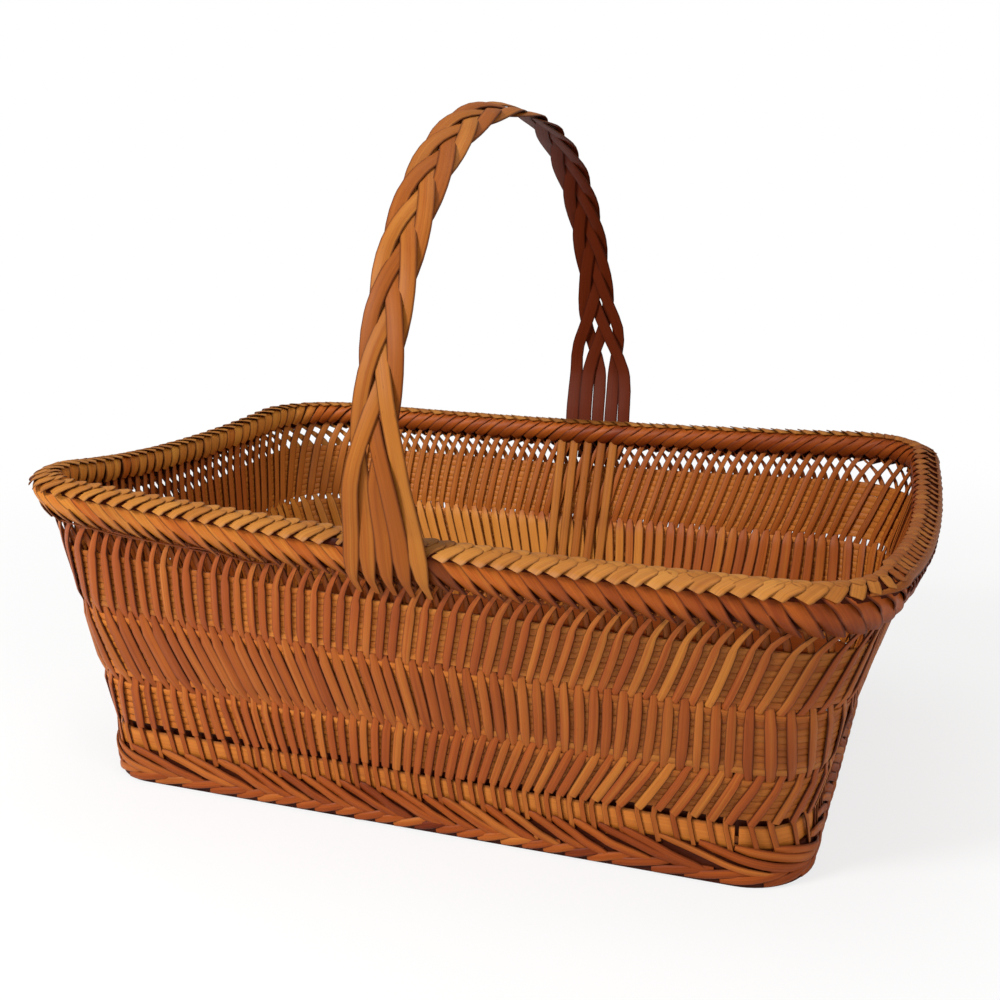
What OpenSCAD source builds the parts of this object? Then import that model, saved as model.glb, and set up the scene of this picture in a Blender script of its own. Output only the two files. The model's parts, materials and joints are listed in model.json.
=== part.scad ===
// Rectangular gathering basket, plaited from flat bamboo strips, with one fixed carrying handle.
// The long walls face -Y and +Y. The origin is on the ground, under the middle of the rim.
// A place on a wall is given by a station, counted once round the basket from the front left
// corner, and by a height above the ground, taken before the rim's sag and tilt are added.

/* [Rim] */
// Length of the basket between the middles of the two end rails
rim_l = 456; // [420:2:500]
// Width of the basket between the middles of the two long rails
rim_w = 318; // [290:2:350]
// Height of the rim's top above the ground at a corner
rim_h = 170; // [160:1:200]
// Corner radius of the rim
rim_r = 44; // [36:1:54]
// Height of the plaited border that forms the rim
border_h = 21; // [17:0.5:24]
// How far the long rails bow outwards at their middle
bow_long = 4; // [0:0.5:8]
// How far the end rails bow outwards at their middle
bow_short = 7; // [0:0.5:10]
// How far the long rails sag at their middle
sag_long = 3.5; // [0:0.5:6]
// How far the end rails sag at their middle
sag_short = 8; // [0:0.5:10]
// Height that each end of the rim is off level, the left end up and the right end down
tilt_end_h = 5; // [0:0.5:6]
// Height that each long rail is off level, the front one up and the back one down
tilt_side_h = 1.8; // [0:0.2:4]
// Height that each corner is off the plane of the rim, in turns down and up
twist_h = 5; // [0:0.5:6]

/* [Foot] */
// Length of the foot
foot_l = 399; // [370:1:420]
// Width of the foot
foot_w = 265; // [240:1:285]
// Height of the upright foot
foot_h = 32.5; // [28:0.5:38]
// Corner radius of the foot
foot_r = 31.5; // [26:0.5:36]
// How far the foot stands to the left of the rim's middle
foot_left = 6; // [0:0.5:8]
// How far the foot stands in front of the rim's middle
foot_forward = 2; // [0:0.5:4]
// Height of the flat hoop round the top of the foot
hoop_h = 13; // [10:0.5:15]
// Thickness of the flat hoop
hoop_t = 2; // [1.4:0.1:2.4]
// Width of the slit where the hoop's two ends meet
hoop_slit = 0.6; // [0.3:0.1:1.5]
// Thickness of the foot core inside its plaited border
foot_core_t = 4; // [3:0.2:6]

/* [Weave] */
// Stakes of each lean along the straight part of a long wall
stakes_long = 48; // [30:1:48]
// Stakes of each lean along the straight part of an end wall
stakes_short = 28; // [18:1:28]
// Stakes of each lean round one corner
stakes_corner = 6; // [4:1:6]
// Width of a stake
stake_w = 3.2; // [2.6:0.1:3.3]
// Thickness of a stake
stake_t = 1; // [0.7:0.1:1.3]
// Thickness of a weaver
weaver_t = 1.6; // [1.2:0.1:2]
// Clear height between one weaver and the next within a band
row_gap = 0.8; // [0.5:0.1:1.2]
// Weavers in the low band
rows_low = 6; // [4:1:7]
// Weavers in the middle band
rows_mid = 9; // [6:1:10]
// Weavers in the top band
rows_top = 9; // [6:1:10]
// Height of the open band between the top weaver and the rim
open_band = 12.5; // [9:0.5:16]
// Clearance between strips that lie against each other
play = 0.3; // [0.2:0.05:0.4]

/* [Rim border] */
// Thickness of the core hoops inside the rim
core_t = 2.2; // [1.8:0.1:3.2]
// Clearance on both sides of the core hoops
border_play = 0.5; // [0.4:0.05:0.8]
// Thickness of the strips wrapped round the rim
wrap_t = 1.2; // [0.8:0.1:1.6]
// Wraps round the whole rim
wraps = 130; // [90:2:140]
// Clear width between one wrap and the next
wrap_gap = 1.2; // [0.8:0.1:2]
// How far a side wrap runs on round the rim between its top and its foot
wrap_lean = 12; // [0:1:16]

/* [Foot border] */
// Long strands round the whole foot
long_strands = 78; // [50:1:90]
// Width of a long strand
long_strand_w = 4.4; // [3:0.1:4.6]
// Width of a short strand
short_strand_w = 2.8; // [2:0.1:3]
// Thickness of the border strands
strand_t = 1.2; // [0.8:0.1:1.6]
// Height of the standing edge left bare under the border
bare_edge = 0.5; // [0.4:0.1:1]
// Stations that a long strand runs past between its top and its foot
long_run = 2.75; // [2:0.25:3]

/* [Floor] */
// Width of a floor strip
floor_strip_w = 22; // [14:0.5:26]
// Clear width between floor strips
floor_gap = 5; // [3:0.5:7]
// Thickness of a floor strip
floor_t = 1; // [0.7:0.1:1.4]
// Height of the floor's middle above the ground
floor_z = 7; // [5:0.5:12]

/* [Handle] */
// Height of the handle's middle line above the ground at its top
handle_h = 369.5; // [340:0.5:420]
// Half of the handle's width at the level of the rim
handle_half = 181; // [176:0.5:190]
// Width of a handle strand
handle_strand_w = 5.6; // [4:0.2:6]
// Thickness of a handle strand
handle_strand_t = 1.2; // [0.8:0.1:1.3]
// Sideways swing of a strand in the plait
swing = 8.6; // [8:0.2:10]
// Swing of a strand through the thickness of the plait
weave_depth = 2.7; // [2.6:0.1:3]
// Spacing of the strands where they fan out at the rim
fan_pitch = 8.6; // [7.5:0.1:10]
// How far the front leg stands to the left of the rim's middle, and the back leg to the right
handle_skew = 2; // [0:0.2:5]
// Height above the rim over which the legs lean out from the rail
leg_rise = 34; // [26:1:44]
// How far the ends of the handle's strands lie below the rim's top at a corner
handle_foot_drop = 31; // [28:0.5:33]
// Height of the lower ends of the handle's tails above the foot
tail_rise = 11.5; // [9:0.5:60]

/* [Hidden] */
STRANDS = 5;
half_stations = stakes_long + stakes_short + 2 * stakes_corner;
stations = 2 * half_stations;
tiny_share = 0.25;
arch_power = 0.89;
plait_turns = 3.2;
plait_from = 19;
arch_steps = 36;
long_steps = 3;
short_steps = 5;
corner_steps = 5;
lift_steps = 1.5;
band_steps = 2;
tip_share = 0.6;
arrow_share = 0.78;
lean_change_share = 1.3;
inner_ease_share = 0.1;
hoop_ease_share = 0.5;

// Heights of the rows, before the rim's sag and tilt
top_row_z = rim_h - border_h - open_band;
row_steps = lift_steps + rows_low + rows_mid + rows_top - 3 + 2 * band_steps;
row_pitch = (top_row_z - foot_h) / row_steps;
weaver_h = row_pitch - row_gap;
low_z = foot_h + lift_steps * row_pitch;
mid_z = low_z + (rows_low - 1 + band_steps) * row_pitch;
top_z = mid_z + (rows_mid - 1 + band_steps) * row_pitch;
low_end_z = low_z + (rows_low - 1) * row_pitch + weaver_h / 2;
mid_end_z = mid_z + (rows_mid - 1) * row_pitch + weaver_h / 2;
top_end_z = top_row_z + weaver_h / 2;
cross_low_z = mid_z - band_steps * row_pitch / 2;
cross_high_z = top_z - band_steps * row_pitch / 2;
lean_rise = cross_high_z - cross_low_z;

// Layers of the wall, measured square to it from the middle of the weavers
stake_off = weaver_t / 2 + play + stake_t / 2;
wall_half_t = stake_off + stake_t / 2;
core_off = wall_half_t + border_play + core_t / 2;
wrap_off = core_off + core_t / 2 + border_play;
border_half_t = wrap_off + wrap_t;
core_h = border_h - wrap_t - border_play;

// Foot, seen from outside: hoop over core, plaited strands on the core
hoop_face = weaver_t / 2;
hoop_z = foot_h - hoop_h;
strand_off = hoop_face + play + strand_t / 2;
border_top_z = hoop_z - bare_edge;
inner_long_z = border_top_z - long_strand_w / 2;
meet_z = bare_edge + 2 * short_strand_w;
outer_long_z = meet_z + long_strand_w / 2 + bare_edge;
cut_over = foot_core_t;

// Handle
spring_z = rim_h - sag_long;
handle_foot_z = rim_h - handle_foot_drop;
arch_rate = (handle_h - spring_z) * PI / 180;
leg_angle = (spring_z - handle_foot_z) / arch_rate;
rail_face = rim_w / 2 + bow_long + border_half_t + play + handle_strand_t / 2;

LOW_ROWS = [for (i = [1:rows_low]) str("weaver_low_", i)];
MID_ROWS = [for (i = [1:rows_mid]) str("weaver_mid_", i)];
TOP_ROWS = [for (i = [1:rows_top]) str("weaver_top_", i)];
HANDLE_STRANDS = [for (i = [1:STRANDS]) str("handle_strand_", i)];
SIDES = ["front", "right", "back", "left"];

function unit(v) = v / norm(v);
function bulge(s) = 1 - s * s;
function mix(a, b, f) = a + (b - a) * f;
function wrapped(q) = (q % stations + stations) % stations;

// Share of a long side or an end side that a station has passed, from -1 to 1
function side_share(p, start, count) = 2 * (p - start) / count - 1;

// Outline of a rounded rectangle with bowed sides, at a station
function outline(q, l, w, r, bow_l, bow_w) =
    let (
        m = wrapped(q),
        turn = m < half_stations ? 1 : -1,
        p = m < half_stations ? m : m - half_stations,
        a = l / 2,
        b = w / 2,
        c1 = stakes_long + stakes_corner,
        c2 = c1 + stakes_short
    )
    turn * (
        p < stakes_long ?
            let (s = side_share(p, 0, stakes_long)) [s * (a - r), -b - bow_l * bulge(s)]
        : p < c1 ?
            let (t = 90 * (p - stakes_long) / stakes_corner) [a - r + r * sin(t), -b + r - r * cos(t)]
        : p < c2 ?
            let (s = side_share(p, c1, stakes_short)) [a + bow_w * bulge(s), s * (b - r)]
        :
            let (t = 90 * (p - c2) / stakes_corner) [a - r + r * cos(t), b - r + r * sin(t)]
    );

// Sag of the rim at a station
function sag(q) =
    let (m = wrapped(q), p = m < half_stations ? m : m - half_stations, c1 = stakes_long + stakes_corner)
    p < stakes_long ? sag_long * bulge(side_share(p, 0, stakes_long))
    : p >= c1 && p < c1 + stakes_short ? sag_short * bulge(side_share(p, c1, stakes_short))
    : 0;

function rim_xy(q) = outline(q, rim_l, rim_w, rim_r, bow_long, bow_short);
function foot_xy(q) = outline(q, foot_l, foot_w, foot_r, 0, 0) - [foot_left, foot_forward];

// Height of the rim's top at a station
function crest_z(q) =
    let (p = rim_xy(q), x = 2 * p.x / rim_l, y = 2 * p.y / rim_w)
    rim_h - sag(q) - tilt_end_h * x - tilt_side_h * y + twist_h * x * y;

// Height to give to wall_mid for a place at a depth below the crest
function below_crest(q, depth) = rim_h - depth * (rim_h - foot_h) / (crest_z(q) - foot_h);

// Middle of the wall at a station and a height
function wall_mid(q, z) =
    z <= foot_h ? let (p = foot_xy(q)) [p.x, p.y, z]
    : let (
        h = (z - foot_h) / (rim_h - foot_h),
        p = mix(foot_xy(q), rim_xy(q), h)
    )
    [p.x, p.y, mix(foot_h, crest_z(q), h)];

function along(q, z) = wall_mid(q + tiny_share, z) - wall_mid(q - tiny_share, z);
function upwards(q, z) = z < foot_h ? [0, 0, 1] : wall_mid(q, z + row_pitch) - wall_mid(q, z);
function wall_normal(q, z) = unit(cross(along(q, z), upwards(q, z)));
function wall_at(q, z, off) = wall_mid(q, z) + off * wall_normal(q, z);

// Corners of a flat strip's section at a point of its path, for a face normal and a direction
function section(p, n, t, w, thick) =
    let (x = unit(cross(n, t)), y = unit(cross(t, x)))
    [p + x * w / 2 + y * thick / 2, p - x * w / 2 + y * thick / 2,
     p - x * w / 2 - y * thick / 2, p + x * w / 2 - y * thick / 2];

// Flat strip swept along a path, open or closed to a ring
module strip(path, normals, w, thick, closed = false) {
    n = len(path);
    points = [
        for (i = [0:n - 1])
            let (
                a = closed ? path[(i + n - 1) % n] : path[max(i - 1, 0)],
                b = closed ? path[(i + 1) % n] : path[min(i + 1, n - 1)]
            )
            each section(path[i], normals[i], unit(b - a), w, thick)
    ];
    spans = closed ? n - 1 : n - 2;
    walls = [
        for (i = [0:spans], j = [0:3])
            let (k = (i + 1) % n)
            [4 * i + j, 4 * k + j, 4 * k + (j + 1) % 4, 4 * i + (j + 1) % 4]
    ];
    ends = closed ? [] : [[0, 1, 2, 3], [for (j = [3:-1:0]) 4 * (n - 1) + j]];
    polyhedron(points, concat(walls, ends));
}

// Flat strip along stops on the wall, each a station, a height and an offset. Its flats lie inside
// the wall's curve by a small rise, so each stop stands out by a share of the larger rise beside it.
module eased_strip(stops, ease_shares, w, thick, closed = false) {
    n = len(stops);
    line = [for (s = stops) wall_at(s[0], s[1], s[2])];
    normals = [for (s = stops) wall_normal(s[0], s[1])];
    rises = [
        for (k = [0:n - 1])
            let (
                a = stops[k],
                b = k < n - 1 ? stops[k + 1] : closed ? stops[0] + [stations, 0, 0] : a,
                m = (a + b) / 2
            )
            k < n - 1 || closed ? norm(wall_at(m[0], m[1], m[2]) - mix(line[k], line[(k + 1) % n], 0.5)) : 0
    ];
    path = [
        for (k = [0:n - 1])
            line[k] + ease_shares[k] * max(rises[k], rises[(k + n - 1) % n]) * normals[k]
    ];
    strip(path, normals, w, thick, closed);
}

// Least distance from a station to the next ones at a step before and after it
function least_step(q, step, z, off) =
    let (p = wall_at(q, z, off))
    min(norm(wall_at(q + step, z, off) - p), norm(wall_at(q - step, z, off) - p));

// Puts a shape into a frame given by a point and three axes
module placed(p, ax, ay, az) {
    multmatrix([
        [ax.x, ay.x, az.x, p.x],
        [ax.y, ay.y, az.y, p.y],
        [ax.z, ay.z, az.z, p.z]
    ])
        children();
}

// Layer of a strip as a list of heights and offsets: a forward stake and a backward stake
FORWARD = [
    [mix(foot_h, low_z, tip_share), stake_off],
    [low_end_z + play, stake_off],
    [mid_z - weaver_h / 2 - play, -stake_off],
    [mid_end_z + play, -stake_off],
    [top_z - weaver_h / 2 - play, stake_off],
    [mix(top_end_z, rim_h - border_h, tip_share), stake_off]
];
BACKWARD = [
    [hoop_z, stake_off],
    [foot_h + play, stake_off],
    [low_z - weaver_h / 2 - play, -stake_off],
    [low_end_z + play, -stake_off],
    [mid_z - weaver_h / 2 - play, stake_off],
    [mid_end_z + play, stake_off],
    [top_z - weaver_h / 2 - play, -stake_off],
    [rim_h - wrap_t - 4 * play, -stake_off]
];
// A corner stake has one more bend, at the foot of the rim
BENT_BACKWARD = concat(
    [for (k = [0:6]) BACKWARD[k]], [[rim_h - border_h, -stake_off]], [BACKWARD[7]]);

// Station of a stake at a height: the two leans pass between each other where the layers swap
function forward_q(i, z) = i + (z - cross_low_z) / lean_rise;
function backward_q(i, z) = i + 0.5 - (z - cross_low_z) / lean_rise;

function stake_q(lean, i, z) = lean > 0 ? forward_q(i, z) : backward_q(i, z);
function stake_at(lean, i, z, off = 0) = wall_at(stake_q(lean, i, z), z, off);

// Straight stake as an extruded side view, for the flat part of a wall. It is lined up at the two
// heights where it passes between the stakes of the other lean.
module flat_stake(lean, i, layers) {
    a = stake_at(lean, i, cross_low_z);
    ax = unit(stake_at(lean, i, cross_high_z) - a);
    n = wall_normal(stake_q(lean, i, cross_high_z), cross_high_z);
    ay = unit(n - (n * ax) * ax);
    side = [for (l = layers) let (d = stake_at(lean, i, l[0], l[1]) - a) [d * ax, d * ay]];
    outer = [for (s = side) [s.x, s.y + stake_t / 2]];
    inner = [for (k = [len(side) - 1:-1:0]) [side[k].x, side[k].y - stake_t / 2]];
    placed(a, ax, ay, cross(ax, ay))
        linear_extrude(stake_w, center = true)
            polygon(concat(outer, inner));
}

// Stake that follows a corner
module bent_stake(lean, i, layers) {
    stops = [for (l = layers) [stake_q(lean, i, l[0]), l[0], l[1]]];
    eased_strip(stops, [for (l = layers) l[1] > 0 ? 1 : inner_ease_share], stake_w, stake_t);
}

// First station of a side, 0 for front to 3 for left, and its number of stakes
function side_start(k) = floor(k / 2) * half_stations + (k % 2) * (stakes_long + stakes_corner);
function side_count(k) = k % 2 == 0 ? stakes_long : stakes_short;

// Stakes that stay on the flat part of a wall for their whole height
forward_first = ceil(cross_low_z / lean_rise - FORWARD[0][0] / lean_rise);
forward_spare = ceil((FORWARD[5][0] - cross_low_z) / lean_rise);
backward_first = ceil((BACKWARD[7][0] - cross_low_z) / lean_rise - 0.5);
backward_spare = ceil(0.5 + (cross_low_z - BACKWARD[0][0]) / lean_rise);

module stakes_forward(k) {
    start = side_start(k);
    color("peru")
        for (i = [forward_first:side_count(k) - forward_spare]) {
            flat_stake(1, start + i, FORWARD);
        }
}

module stakes_backward(k) {
    start = side_start(k);
    color("chocolate")
        for (i = [backward_first:side_count(k) - backward_spare]) {
            flat_stake(-1, start + i, BACKWARD);
        }
}

module corner_forward(k) {
    start = side_start(k) + side_count(k);
    color("peru")
        for (i = [1 - forward_spare:stakes_corner + forward_first - 1]) {
            bent_stake(1, start + i, FORWARD);
        }
}

module corner_backward(k) {
    start = side_start(k) + side_count(k);
    color("chocolate")
        for (i = [1 - backward_spare:stakes_corner + backward_first - 1]) {
            bent_stake(-1, start + i, BENT_BACKWARD);
        }
}

// Stations at which a hoop has a section
hoop_stations = [
    for (k = [0:3])
        let (start = side_start(k), count = side_count(k), steps = k % 2 == 0 ? long_steps : short_steps)
        each concat(
            [for (i = [0:steps - 1]) start + i * count / steps],
            [for (i = [0:corner_steps - 1]) start + count + i * stakes_corner / corner_steps])
];

hoop_ease_shares = [for (q = hoop_stations) hoop_ease_share];

module weaver(first_z, i) {
    z = first_z + (i - 1) * row_pitch;
    color("burlywood")
        eased_strip([for (q = hoop_stations) [q, z, 0]], hoop_ease_shares, weaver_h, weaver_t, closed = true);
}

module rim_core(side) {
    depth = border_h - core_h / 2;
    color("saddlebrown")
        eased_strip(
            [for (q = hoop_stations) [q, below_crest(q, depth), side * core_off]],
            hoop_ease_shares, core_h, core_t, closed = true);
}

// Stations from a place to the nearest corner, zero inside a corner
function from_corner(q) =
    let (m = wrapped(q) % half_stations, c1 = stakes_long + stakes_corner)
    max(0, min(m, stakes_long - m), min(m - c1, c1 + stakes_short - m));

// Slanted wraps on one face of the rim, 1 for the outer and -1 for the inner face. They stand
// upright in the corners, where those inside the rim also stand off the bend by its rise.
module rim_wraps_side(side) {
    h = core_h - wrap_t;
    face = side * (wrap_off + wrap_t / 2);
    step = stations / wraps;
    color("goldenrod")
        for (i = [0:wraps - 1]) {
            q = i * step;
            z = below_crest(q, border_h - core_h / 2);
            n = wall_normal(q, z);
            t = unit(along(q, z));
            w = least_step(q, step, z, face) - wrap_gap;
            lean = min(wrap_lean, lean_change_share * wrap_gap * from_corner(q) / step);
            rise = side < 0 && from_corner(q) < 1 ? w * w / (8 * (rim_r - border_half_t)) : 0;
            placed(wall_at(q, z, face - rise), t, cross(n, t), n)
                linear_extrude(wrap_t, center = true)
                    polygon([
                        [(-w + lean) / 2, -h / 2],
                        [(w + lean) / 2, -h / 2],
                        [(w - lean) / 2, h / 2],
                        [(-w - lean) / 2, h / 2]
                    ]);
        }
}

// Arrow-shaped wraps on top of the rim, pointing onwards round it
module rim_wraps_top() {
    color("tan")
        for (i = [0:wraps - 1]) {
            q = i * stations / wraps;
            z = below_crest(q, wrap_t);
            n = wall_normal(q, z);
            t = unit(along(q, z));
            w = arrow_share * least_step(q, stations / wraps, z, -border_half_t);
            placed(wall_at(q, z, 0), t, -n, cross(n, t))
                linear_extrude(wrap_t)
                    polygon([
                        [-w, -border_half_t],
                        [0, -border_half_t],
                        [w, 0],
                        [0, border_half_t],
                        [-w, border_half_t],
                        [0, 0]
                    ]);
        }
}

module foot_outline(grow) {
    r = foot_r + grow;
    translate([-foot_left, -foot_forward]) {
        square([foot_l + 2 * grow, foot_w - 2 * foot_r], center = true);
        square([foot_l - 2 * foot_r, foot_w + 2 * grow], center = true);
        for (x = [-1, 1], y = [-1, 1]) {
            translate([x * (foot_l / 2 - foot_r), y * (foot_w / 2 - foot_r)])
                circle(r, $fn = 64);
        }
    }
}

module foot_core() {
    color("sienna")
        linear_extrude(hoop_z)
            difference() {
                foot_outline(hoop_face);
                foot_outline(hoop_face - foot_core_t);
            }
}

module foot_hoop() {
    color("peru")
        difference() {
            translate([0, 0, hoop_z])
                linear_extrude(hoop_h)
                    difference() {
                        foot_outline(hoop_face);
                        foot_outline(hoop_face - hoop_t);
                    }
            translate([foot_l / 2 - foot_r - foot_left, -foot_w / 2 - foot_forward - cut_over, hoop_z - cut_over])
                cube([hoop_slit, 2 * cut_over, hoop_h + 2 * cut_over]);
        }
}

// Strand on the outside of the foot core, from one station and height to another
module foot_strand(q_a, q_b, z_a, z_b, w, steps) {
    stops = [for (i = [0:steps]) mix([q_a, z_a, strand_off], [q_b, z_b, strand_off], i / steps)];
    eased_strip(stops, [for (s = stops) 1], w, strand_t);
}

module foot_strands_long() {
    color("chocolate")
        for (i = [0:long_strands - 1]) {
            q = i * stations / long_strands;
            foot_strand(q, q + long_run, inner_long_z, outer_long_z, long_strand_w, 3);
        }
}

module foot_strands_short() {
    color("peru")
        for (i = [0:long_strands - 1]) {
            q = i * stations / long_strands;
            foot_strand(
                q + 1, q, meet_z - short_strand_w / 2 - bare_edge, bare_edge + short_strand_w / 2,
                short_strand_w, 1);
        }
}

// Half length of the room inside the foot core at a distance from its middle line
function room(half_len, half_wid, r, d) =
    let (e = max(0, abs(d) - (half_wid - r)))
    half_len - r + sqrt(max(0, r * r - e * e));

room_l = foot_l / 2 + hoop_face - foot_core_t - play;
room_w = foot_w / 2 + hoop_face - foot_core_t - play;
room_r = foot_r + hoop_face - foot_core_t - play;
floor_pitch = floor_strip_w + floor_gap;
count_long = floor((2 * room_w - floor_strip_w) / floor_pitch);
count_cross = floor((2 * room_l - floor_strip_w) / floor_pitch);
weave_off = (floor_t + play) / 2;

// Woven floor strip as an extruded side view, over and under the strips that it crosses
module floor_strip(half_len, crossings, sign) {
    side = concat(
        [[-half_len, sign * weave_off * (crossings % 2 == 0 ? 1 : -1)]],
        [for (i = [0:crossings - 1])
            let (
                x = (i - (crossings - 1) / 2) * floor_pitch,
                z = sign * weave_off * (i % 2 == 0 ? 1 : -1)
            )
            each [[x - floor_strip_w / 2, z], [x + floor_strip_w / 2, z]]],
        [[half_len, sign * weave_off]]);
    kept = [for (s = side) if (abs(s.x) <= half_len) s];
    top = [for (s = kept) [s.x, s.y + floor_t / 2]];
    under = [for (k = [len(kept) - 1:-1:0]) [kept[k].x, kept[k].y - floor_t / 2]];
    rotate([90, 0, 0])
        linear_extrude(floor_strip_w, center = true)
            polygon(concat(top, under));
}

module floor_lengthwise() {
    color("burlywood")
        for (i = [0:count_long - 1]) {
            y = (i - (count_long - 1) / 2) * floor_pitch;
            reach = room(room_l, room_w, room_r, abs(y) + floor_strip_w / 2);
            translate([-foot_left, y - foot_forward, floor_z])
                floor_strip(reach, count_cross, i % 2 == 0 ? 1 : -1);
        }
}

module floor_crosswise() {
    color("tan")
        for (i = [0:count_cross - 1]) {
            x = (i - (count_cross - 1) / 2) * floor_pitch;
            reach = room(room_w, room_l, room_r, abs(x) + floor_strip_w / 2);
            translate([x - foot_left, -foot_forward, floor_z])
                rotate([0, 0, 90])
                    floor_strip(reach, count_long, i % 2 == 0 ? -1 : 1);
        }
}

// Middle station of the front or the back wall
function mid_station(side) = stakes_long / 2 + (side < 0 ? 0 : half_stations);

// Distance of a handle leg from the basket's middle plane, by height
function leg_y(z, side) =
    let (
        mid = mid_station(side),
        crest = crest_z(mid),
        foot_y = abs(wall_at(mid, handle_foot_z, wall_half_t + 3 * play + handle_strand_t / 2).y)
    )
    lookup(z, [
        [handle_foot_z, foot_y],
        [crest - border_h, rail_face],
        [crest, rail_face],
        [crest + leg_rise, handle_half]
    ]);

// Middle line of the handle, by an angle that runs on below the arch as the legs
function arch(u) =
    let (
        v = min(max(u, 0), 180),
        below = max(-u, u - 180, 0),
        side = u < 90 ? -1 : 1,
        y = side * handle_half * pow(abs(cos(v)), arch_power),
        z = spring_z + (handle_h - spring_z) * pow(sin(v), arch_power) - below * arch_rate
    )
    [side * handle_skew * pow(abs(cos(v)), 2), y - side * (handle_half - leg_y(z, side)), z];

function arch_dir(u) = unit(arch(u + tiny_share) - arch(u - tiny_share));

// Angle of the arch at a height on a leg, from its spring up
function leg_u(z) = (z - spring_z) / arch_rate;

// Place of a strand of the handle's plait, which fans out flat against the rail
function strand_at(i, u) =
    let (
        side = u < 90 ? -1 : 1,
        up = side < 0 ? u : 180 - u,
        rail_up = leg_u(crest_z(mid_station(side))),
        v = min(max(u, plait_from), 180 - plait_from),
        turned = 360 * plait_turns * (v - plait_from) / (180 - 2 * plait_from) + 360 * i / STRANDS,
        beyond = max(plait_from - up, 0) / (plait_from + leg_angle),
        plait_x = swing * sin(turned),
        fan_x = fan_pitch * asin(sin(turned)) * STRANDS / 180,
        lift = sqrt(min(max(up - rail_up, 0) / (plait_from - rail_up), 1)),
        depth = lift * weave_depth * sin(2 * turned)
    )
    arch(u) + [mix(plait_x, fan_x, beyond), 0, 0] - depth * cross([1, 0, 0], arch_dir(u));

module handle_strand(i) {
    front_rail = leg_u(crest_z(mid_station(-1)) - border_h);
    back_rail = leg_u(crest_z(mid_station(1)) - border_h);
    stops = concat(
        [-leg_angle, front_rail],
        [for (k = [0:arch_steps]) k * 180 / arch_steps],
        [180 - back_rail, 180 + leg_angle]);
    path = [for (u = stops) strand_at(i, u)];
    normals = [for (u = stops) -cross([1, 0, 0], arch_dir(u))];
    color([0.72, 0.44, 0.18])
        strip(path, normals, handle_strand_w, handle_strand_t);
}

// Tails of the handle's strands, flat against the inside of a long wall
module handle_tails(side) {
    mid = mid_station(side);
    spacing = norm(along(mid, handle_foot_z)) / (2 * tiny_share);
    off = -(wall_half_t + play + handle_strand_t / 2);
    z_low = foot_h + tail_rise;
    color("goldenrod")
        for (k = [0:STRANDS - 1]) {
            q = mid + (k - (STRANDS - 1) / 2) * fan_pitch / spacing;
            path = [wall_at(q, z_low, off), wall_at(q, handle_foot_z, off)];
            n = wall_normal(q, handle_foot_z);
            strip(path, [n, n], handle_strand_w, handle_strand_t);
        }
}

floor_lengthwise();
floor_crosswise();
foot_core();
foot_hoop();
foot_strands_long();
foot_strands_short();
for (i = [1:rows_low]) weaver(low_z, i);
for (i = [1:rows_mid]) weaver(mid_z, i);
for (i = [1:rows_top]) weaver(top_z, i);
for (k = [0:3]) stakes_forward(k);
for (k = [0:3]) stakes_backward(k);
for (k = [0:3]) corner_forward(k);
for (k = [0:3]) corner_backward(k);
rim_core(-1);  // rim_core_inner
rim_core(1);  // rim_core_outer
rim_wraps_side(1);  // rim_wraps_outer
rim_wraps_side(-1);  // rim_wraps_inner
rim_wraps_top();
for (i = [1:STRANDS]) handle_strand(i);
handle_tails(-1);  // handle_tails_front
handle_tails(1);  // handle_tails_back
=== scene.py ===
"""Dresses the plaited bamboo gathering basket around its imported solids.

Every strip is laid along a path on the basket's wall, rail, foot or handle. The paths come from the
same few sizes as the solids, in millimetres, and each mesh is written out in metres.
"""

import json
import logging
import math
from dataclasses import dataclass, field
from enum import Enum

import bpy
import numpy as np
from mathutils import Matrix, Vector

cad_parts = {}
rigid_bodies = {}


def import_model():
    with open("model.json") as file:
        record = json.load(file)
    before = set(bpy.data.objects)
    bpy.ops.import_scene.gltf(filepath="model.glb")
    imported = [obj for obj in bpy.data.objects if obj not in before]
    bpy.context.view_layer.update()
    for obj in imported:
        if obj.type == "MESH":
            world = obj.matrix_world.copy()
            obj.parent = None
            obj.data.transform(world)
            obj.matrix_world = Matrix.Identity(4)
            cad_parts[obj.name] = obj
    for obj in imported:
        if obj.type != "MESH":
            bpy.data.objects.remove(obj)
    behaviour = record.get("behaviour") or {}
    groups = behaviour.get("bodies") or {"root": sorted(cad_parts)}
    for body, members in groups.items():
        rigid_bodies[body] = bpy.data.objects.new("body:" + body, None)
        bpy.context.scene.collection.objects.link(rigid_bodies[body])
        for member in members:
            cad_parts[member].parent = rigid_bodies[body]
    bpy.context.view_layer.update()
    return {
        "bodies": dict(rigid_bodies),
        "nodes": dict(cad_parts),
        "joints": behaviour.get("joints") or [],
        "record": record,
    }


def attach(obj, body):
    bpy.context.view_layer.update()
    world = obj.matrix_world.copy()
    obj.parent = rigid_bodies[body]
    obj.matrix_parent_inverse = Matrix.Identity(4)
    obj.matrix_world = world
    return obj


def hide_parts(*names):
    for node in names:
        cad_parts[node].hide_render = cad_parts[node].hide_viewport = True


# One millimetre in metres, and the numbers that every corner of a strip carries for its finish and its painted
# shade.
MM = 0.001
ATTRIBUTES = ("tone", "span", "skin", "shade")
LOG = logging.getLogger("basket")


class Lean(Enum):
    """Way that a wall stake leans as it goes up."""

    FORWARD = 1
    BACKWARD = -1


class Face(Enum):
    """Face of the rail that a wrap lies on."""

    OUTER = 1
    INNER = -1


class Side(Enum):
    """Side of the basket, in the order of the stations."""

    FRONT = 0
    RIGHT = 1
    BACK = 2
    LEFT = 3


def unit(v: np.ndarray) -> np.ndarray:
    """Vectors at length one."""
    return v / np.maximum(np.linalg.norm(v, axis=-1, keepdims=True), 1e-12)


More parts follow.
